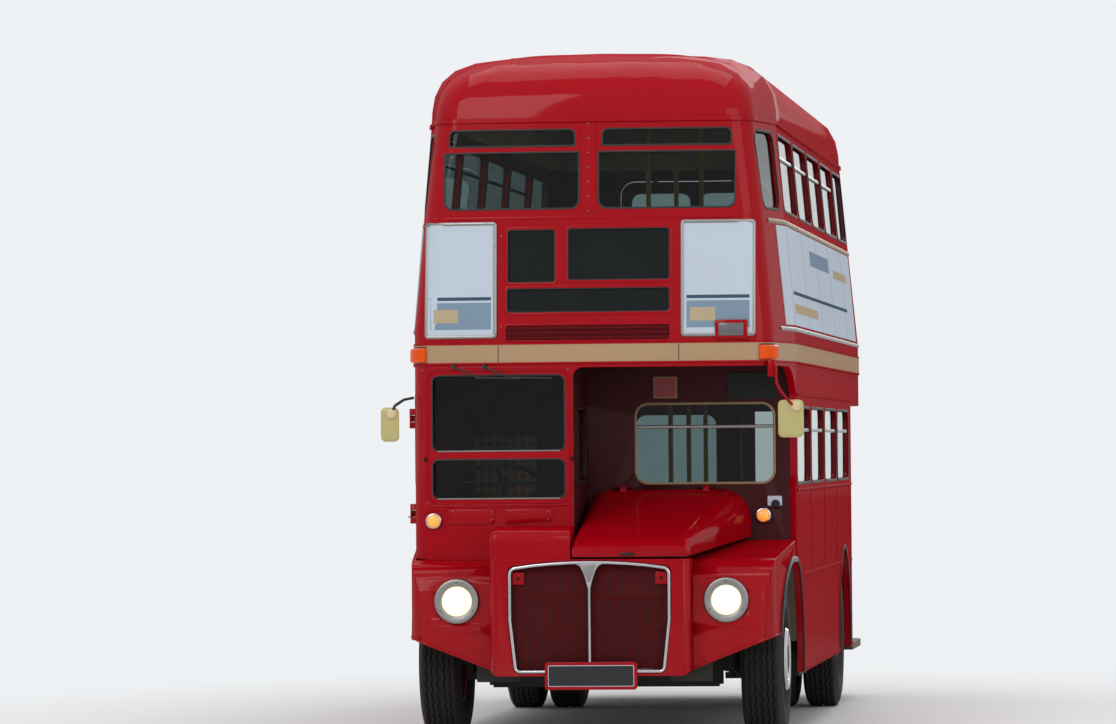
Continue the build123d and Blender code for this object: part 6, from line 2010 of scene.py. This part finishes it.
class Upholstery:
    """Sprung cushions blown up by the cloth solver, with piping at their edges."""

    INSET = CAP = 0.009
    FRAMES = 20
    VOXEL = 0.019

    def __init__(self, node: bpy.types.Object) -> None:
        """Keep the CAD node that holds every cushion."""
        self.node = node
        self.pads: dict[tuple[float, ...], tuple[list[Vector], list[list[int]]]] = {}

    def boxes(self) -> list[tuple[Vector, Vector]]:
        """Find the two corners of every cushion in the CAD node."""
        build = opened(self.node, 1e-5)
        left, found = set(build.verts), []
        while left:
            stack, island = [left.pop()], []
            while stack:
                vert = stack.pop()
                island.append(vert.co)
                for edge in vert.link_edges:
                    other = edge.other_vert(vert)
                    if other in left:
                        left.discard(other)
                        stack.append(other)
            low = Vector([min(co[i] for co in island) for i in range(3)])
            found.append((low, Vector([max(co[i] for co in island) for i in range(3)])))
        build.free()
        return sorted(found, key=lambda pair: tuple(round(value, 4) for value in pair[0]))

    @staticmethod
    def inflated(size: Sequence[float]) -> tuple[list[Vector], list[list[int]]]:
        """Blow a slightly smaller block up into a sewn pad.

        Args:
            size: The cushion's size.

        Returns:
            Points about the pad's centre, and faces.
        """
        half = [side / 2 - Upholstery.INSET for side in size]
        block = Shape().block([-h for h in half], half, 0.016)
        pad = linked(bpy.data.objects.new("pad", block.plain_mesh("pad")))
        remesh = pad.modifiers.new("remesh", "REMESH")
        remesh.mode = "VOXEL"
        remesh.voxel_size = Upholstery.VOXEL
        pad.data = evaluated(pad)
        pad.modifiers.clear()
        start = [v.co.copy() for v in pad.data.vertices]
        cloth = pad.modifiers.new("cloth", "CLOTH")
        cloth.settings.use_pressure = True
        cloth.settings.uniform_pressure_force = 4.0
        cloth.settings.effector_weights.gravity = 0.0
        cloth.point_cache.frame_start, cloth.point_cache.frame_end = 1, Upholstery.FRAMES
        for frame in range(1, Upholstery.FRAMES + 1):
            bpy.context.scene.frame_set(frame)
        done = pad.evaluated_get(bpy.context.evaluated_depsgraph_get()).to_mesh()
        verts = []
        for before, vert in zip(start, done.vertices):
            move = vert.co - before
            moved = before + (move if move.length <= Upholstery.CAP else
                              move * Upholstery.CAP / move.length)
            verts.append(Vector([max(-s / 2, min(s / 2, value)) for value, s in zip(moved, size)]))
        faces = [list(face.vertices) for face in done.polygons]
        bpy.data.objects.remove(pad)
        bpy.context.scene.frame_set(1)
        return verts, faces

    def build(self) -> None:
        """Set a pad in every cushion's place and sew its piping."""
        groups: dict[str, Shape] = {}
        piping = Shape()
        for low, high in self.boxes():
            size = tuple(round(b - a, 3) for a, b in zip(low, high))
            if size not in self.pads:
                self.pads[size] = self.inflated(size)
            verts, faces = self.pads[size]
            centre = (low + high) / 2
            upright = size[2] > max(0.3, size[1] if size[0] > 0.2 else 0.0)
            deck = "upper" if low.z > 2.4 else "lower"
            name = f"{deck}_{'backs' if upright else 'squabs'}"
            groups.setdefault(name, Shape()).add([v + centre for v in verts], faces)
            if not upright:
                loop = rounded_loop(low.x, high.x, low.y, high.y, (0.030, 0.030), -0.008, 0.2)
                path = [(Vector((x, y, high.z - 0.020)), Vector((0, 0, 1))) for x, y in loop]
                piping.sweep(path, [(-0.004, -0.004), (-0.004, 0.004), (0.004, 0.004),
                                    (0.004, -0.004)], True)
        for name, shape in groups.items():
            piece = shape.make(f"padded_{name}", Look.MOQUETTE, sharp=80)
            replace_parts(piece, "seat_cushions")
        piping.make("seat_piping", Look.PIPING)


class Saloon(Screwed):
    """Floor slats, stair nosings, pole sockets, the exhaust pipe and the black plates behind the nose."""

    def build(self) -> None:
        """Make the fittings of both decks and of the platform."""
        row = BarRepeat("Floor slats")
        for name, low, high, z, count, start in (
                ("lower", -2.930, 2.860, LOWER_DECK, 12, -0.255),
                ("upper", -3.700, 3.980, UPPER_DECK, 12, -0.255),
                ("platform", 2.960, 4.080, PLATFORM, 30, -0.360)):
            slat = Shape().block((-0.014, low, z), (0.014, high, z + 0.006), 0.002)
            mesh = row.mesh(slat, count, start, 0.0464, Look.SLAT)
            finished(mesh, f"{name}_slats", Look.SLAT, "root")
        pale = Shape()
        rise = (UPPER_DECK - PLATFORM) / 9
        for k in range(6):
            z, y = PLATFORM + rise * (8 - k), 2.180 + 0.225 * k + 0.245
            pale.block((-1.160, y - 0.028, z + 0.0005), (-0.528, y - 0.001, z + 0.004), 0.001)
        pale.block((0.430, 4.130, 0.4205), (1.080, 4.160, 0.4245), 0.001)
        pale.make("step_nosings", Look.CARD)
        self.sockets()
        self.exhaust()

    def sockets(self) -> None:
        """Set a flanged socket with screws at the foot of every pole."""
        sockets, screws = Shape(), []
        lower = [(-0.322, -1.665), (-0.322, -0.245), (0.322, -2.375), (0.322, -0.955), (0.322, 0.465)]
        feet = [(x, y + 0.456, LOWER_DECK) for x, y in lower] + [(0.690, 4.085, PLATFORM)]
        upper_x = FORM.level(3.36).half - 0.045 - 0.012 - 0.860 - 0.022
        feet += [(upper_x, -3.325 + 0.710 * k + 0.456, UPPER_DECK) for k in (1, 4, 7)]
        for foot in feet:
            sockets.lathe(foot, (0, 0, 1), [(0.0001, 0.001), (0.038, 0.001), (0.038, 0.006), (0.024, 0.010),
                                            (0.0205, 0.040), (0.0165, 0.042)], 28)
            screws += [(Vector(foot) + Vector((0.030 * math.cos(a), 0.030 * math.sin(a), 0.006)),
                        Vector((0, 0, 1))) for a in (0.6, 2.7, 4.8)]
        sockets.make("pole_sockets", Look.DULL_METAL)
        self.screws.fit(screws, 0.004, 0.002, "socket_screws", Look.DULL_METAL)

    @staticmethod
    def exhaust() -> None:
        """Run the exhaust pipe with its silencer, and set the black plates behind the nose: partly splash
        plates, partly painted shade in the dark gap there.
        """
        plates = Shape()
        # Black plates behind the nose: partly splash plates, partly painted shade that darkens the gap under
        # the nose.
        for x in (-0.605, 0.605):
            plates.block((x - 0.135, -3.874, 0.395), (x + 0.135, -3.868, 0.760), 0.002)
        plates.make("splash_plates_and_painted_shade", Look.CHASSIS)
        pipe = Shape().tube([(0.300, -2.900, 0.425), (0.300, 1.250, 0.425)], 0.028, 20)
        pipe.lathe((0.300, -0.700, 0.408), (0, 1, 0), [(0.0001, 0.0), (0.055, 0.004), (0.062, 0.020),
                                                     (0.062, 0.780), (0.055, 0.796), (0.0001, 0.800)], 36)
        pipe.make("exhaust_pipe", Look.IRON)


class OutsideFittings:
    """Mirrors and door handles, one of them a bar on the rear's emergency door."""

    def build(self) -> None:
        """Make every outside fitting."""
        self.mirrors()
        self.handles()

    @staticmethod
    def mirrors() -> None:
        """Make the dished mirror backs, their arms, clamps and glasses."""
        backs, glasses, clamps = Shape(), Shape(), Shape()
        for box, front in (((-1.340, -1.225, 1.905, 2.120), -3.830), ((1.160, 1.320, 1.910, 2.145), -3.845)):
            rings = []
            for grow, y in ((-0.004, 0.020), (0.0, 0.016), (0.0, 0.010), (-0.006, 0.004), (-0.020, 0.0005),
                            (-0.034, 0.0)):
                loop = rounded_loop(*box, (0.032, 0.032), grow, 9.0)
                rings.append([Vector((x, front + y, z)) for x, z in loop])
            backs.stack(rings)
            low, high, bottom, top = box
            glasses.panel((low + 0.008, high - 0.008, bottom + 0.008, top - 0.008), 0.024, front + 0.0185,
                          front + 0.0225, 1)
            clamps.lathe((high - 0.046, front + 0.004, top - 0.042), FRONT,
                         [(0.032, -0.002), (0.032, 0.012), (0.022, 0.022), (0.0001, 0.023)], 28)
        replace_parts(backs.make("mirror_backs", Look.MIRROR_BACK), "mirrors")
        glasses.make("mirror_faces", Look.MIRROR)
        clamps.make("mirror_clamps", Look.CEILING)
        red = Shape().tube([(1.118, -3.800, 2.378), (1.140, -3.838, 2.370), (1.152, -3.862, 2.345),
                            (1.152, -3.872, 2.300), (1.154, -3.875, 2.255), (1.172, -3.874, 2.210),
                            (1.205, -3.868, 2.165), (1.238, -3.860, 2.130), (1.262, -3.852, 2.100)],
                           0.009, 14)
        red.block((1.095, -3.835, 2.290), (1.150, -3.800, 2.395), 0.012)
        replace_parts(red.make("nearside_mirror_arm", Look.RED), "mirrors")
        black = Shape().tube([(-1.140, -3.767, 2.180), (-1.196, -3.800, 2.168), (-1.250, -3.828, 2.130),
                              (-1.272, -3.838, 2.080)], 0.009, 14)
        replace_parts(black.make("offside_mirror_arm", Look.BLACK), "mirrors")

    @staticmethod
    def handles() -> None:
        """Make the cab door's handle and the emergency door's handle."""
        wall = FORM.side(OFFSIDE)
        cab = Shape()
        place = wall(-3.115, 1.430)
        cab.lathe(place, (-1, 0, 0), [(0.022, -0.004), (0.022, 0.004), (0.010, 0.008), (0.009, 0.036),
                                      (0.0001, 0.037)], 28)
        cab.tube([(place.x - 0.032, -3.105, 1.430), (place.x - 0.032, -3.225, 1.426)], 0.008, 14)
        cab.make("cab_door_handle", Look.CHROME, "cab_door")
        rear = FORM.rear_wall()
        back = rear(0.0, 3.090)
        door = Shape()
        door.tube([(-0.085, back.y + 0.026, 3.090), (0.085, back.y + 0.026, 3.090)], 0.009, 14)
        for x in (-0.075, 0.075):
            door.tube([(x, back.y - 0.004, 3.090), (x, back.y + 0.026, 3.090)], 0.007, 12)
        door.make("emergency_door_handle", Look.CHROME, "emergency_door")


NODES_BY_LOOK: dict[Look, tuple[str, ...]] = {
    Look.CREAM: ("cream_band",),
    Look.LINING: ("platform_bulkheads", "staircase"),
    Look.GLASS: ("cab_door_glass", "emergency_door_glass", "upper_glazing", "lower_glazing"),
    Look.CARD: ("advert_panels",),
    Look.CHROME: ("grille_frame", "lamps"),
    Look.DEEP_RED_AND_PAINTED_SHADE: ("grille_bars",),
    Look.FLOOR: ("lower_floor", "upper_floor", "rear_platform"),
    Look.SEAT_PAINT: ("seat_frames",),
    Look.MOQUETTE: ("seat_cushions",),
    Look.POLE: ("grab_poles",),
    Look.LAMP_GLASS: ("ceiling_lamps",),
    Look.CHASSIS: ("underframe", "axles", "knuckle_offside", "knuckle_nearside"),
    Look.IRON: ("engine",),
    Look.PLASTIC: ("steering_column", "steering_wheel", "mirrors", "wipers"),
    Look.TYRE: ("front_tyre_offside", "front_tyre_nearside", "rear_tyres_offside",
                "rear_tyres_nearside"),
    Look.WHEEL: ("front_wheel_offside", "front_wheel_nearside", "rear_wheels_offside",
                 "rear_wheels_nearside"),
}


def dress_nodes(nodes: dict[str, bpy.types.Object]) -> None:
    """Give every CAD node its finish, red where the table has no other.

    Args:
        nodes: The CAD nodes by name.
    """
    looks = {name: look for look, names in NODES_BY_LOOK.items() for name in names}
    for name, node in nodes.items():
        look = looks.get(name, Look.RED)
        if not node.material_slots:
            node.data.materials.append(material(look))
        for slot in node.material_slots:
            slot.material = material(look)
        LOG.info("%s: %s", name, look.value)


# Studio


@dataclass
class Studio:
    """Pale floor, soft light and the camera at the photograph's angle."""

    camera_place: tuple[float, float, float] = (3.930, -43.690, 1.85)
    heading: float = 5.94
    lift: float = 0.779
    roll: float = -0.5
    lens: float = 206.5
    floor_size: float = 400.0
    lamps_aim: float = 2.0
    backdrop: Colour = (0.86, 0.88, 0.90, 1.0)
    sky: Colour = (0.93, 0.96, 1.0, 1.0)
    sky_strength: float = 0.55
    fade_reach: Pair = (2.2, 6.5)
    fade_stretch: float = 0.55

    def build(self) -> None:
        """Make the floor, the lamps, the world and the camera."""
        self.floor()
        self.world()
        self.lamps()
        self.camera()

    def floor(self) -> None:
        """Lay the floor, which fades into the white backdrop away from the bus."""
        half = self.floor_size / 2
        mesh = bpy.data.meshes.new("floor")
        corners = [(-half, -half, 0), (half, -half, 0), (half, half, 0), (-half, half, 0)]
        mesh.from_pydata(corners, [], [(0, 1, 2, 3)])
        mesh.materials.append(self.floor_finish())
        floor = linked(bpy.data.objects.new("floor", mesh))
        floor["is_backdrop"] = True

    def floor_finish(self) -> bpy.types.Material:
        """Make the floor's material: matt near the bus, the backdrop's colour further off."""
        finish = material(Look.STUDIO)
        tree = finish.node_tree
        split = add_node(tree, "ShaderNodeSeparateXYZ", {0: own_place(tree)}).outputs
        along = maths(tree, "MULTIPLY", split["Y"], self.fade_stretch)
        squares = [maths(tree, "MULTIPLY", side, side) for side in (along, split["X"])]
        reach = maths(tree, "SQRT", maths(tree, "ADD", *squares))
        fade = ranged(tree, reach, self.fade_reach, (0.0, 1.0), "SMOOTHSTEP")
        seen = tree.nodes.new("ShaderNodeLightPath").outputs["Is Camera Ray"]
        plain = add_node(tree, "ShaderNodeEmission", {"Color": self.backdrop})
        mix = add_node(tree, "ShaderNodeMixShader", {
            0: maths(tree, "MULTIPLY", fade, seen), 1: tree.nodes["Principled BSDF"].outputs[0],
            2: plain.outputs[0]})
        tree.links.new(mix.outputs[0], tree.nodes["Material Output"].inputs["Surface"])
        return finish

    def world(self) -> None:
        """Light evenly from all round, and show plain white to the camera and to reflections."""
        world = bpy.data.worlds.new("studio")
        bpy.context.scene.world = world
        world.use_nodes = True
        tree = world.node_tree
        tree.nodes.clear()
        seen = add_node(tree, "ShaderNodeBackground", {"Color": self.backdrop})
        light = add_node(tree, "ShaderNodeBackground", {"Color": self.sky, "Strength": self.sky_strength})
        path = tree.nodes.new("ShaderNodeLightPath").outputs
        rays = maths(tree, "MAXIMUM", path["Is Camera Ray"], path["Is Glossy Ray"])
        rays = maths(tree, "MAXIMUM", rays, path["Is Transmission Ray"])
        mix = add_node(tree, "ShaderNodeMixShader", {0: rays, 1: light.outputs[0], 2: seen.outputs[0]})
        add_node(tree, "ShaderNodeOutputWorld", {0: mix.outputs[0]})

    def lamps(self) -> None:
        """Hang the soft lamps."""
        rows = (("key", (-7.0, -16.0, 12.0), 900.0, 9.0), ("fill", (11.0, -13.0, 7.0), 380.0, 9.0),
                ("top", (0.0, 0.0, 13.0), 600.0, 10.0), ("back", (3.0, 16.0, 9.0), 600.0, 8.0))
        for name, place, power, size in rows:
            data = bpy.data.lights.new(name, "AREA")
            data.energy = power
            data.size = size
            lamp = linked(bpy.data.objects.new(name, data))
            lamp.location = place
            aim = Vector((0, 0, self.lamps_aim)) - Vector(place)
            lamp.rotation_mode = "QUATERNION"
            lamp.rotation_quaternion = aim.to_track_quat("-Z", "Y")

    def camera(self) -> None:
        """Set up the camera."""
        data = bpy.data.cameras.new("camera")
        data.lens = self.lens
        data.sensor_width = 36.0
        data.clip_end = 400.0
        camera = linked(bpy.data.objects.new("camera", data))
        turn = (Matrix.Rotation(math.radians(self.heading), 4, "Z")
                @ Matrix.Rotation(math.radians(90 + self.lift), 4, "X")
                @ Matrix.Rotation(math.radians(self.roll), 4, "Z"))
        camera.matrix_world = Matrix.Translation(self.camera_place) @ turn
        bpy.context.scene.camera = camera


def corners(box: tuple[Vector, Vector]) -> list[list[float]]:
    """A box's two corners as plain lists."""
    return [[round(value, 5) for value in corner] for corner in box]


def main() -> None:
    """Load the frame, build every sub-assembly, and work out both boxes."""
    logging.basicConfig(level=logging.INFO, format="%(message)s")
    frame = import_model()
    cad_box = corners(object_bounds())
    scene = bpy.context.scene
    scene.view_settings.view_transform = "Standard"
    nodes = frame["nodes"]
    dress_nodes(nodes)
    screws = NodeRepeat("Domed screws", 10, 0.55)
    Bodywork(nodes).build()
    WindowTrim().build()
    SideMouldings(screws).build()
    FrontDisplay(screws).build()
    Nose(screws).build()
    LampSet(screws).build()
    RoadWheels(NodeRepeat("Wheel nuts", 6, 0.92)).build()
    Upholstery(nodes["seat_cushions"]).build()
    Saloon(screws).build()
    OutsideFittings().build()
    Studio().build()
    bpy.context.view_layer.update()
    {"cad": cad_box, "visual": corners(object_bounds())}


if __name__ == "__main__":
    main()
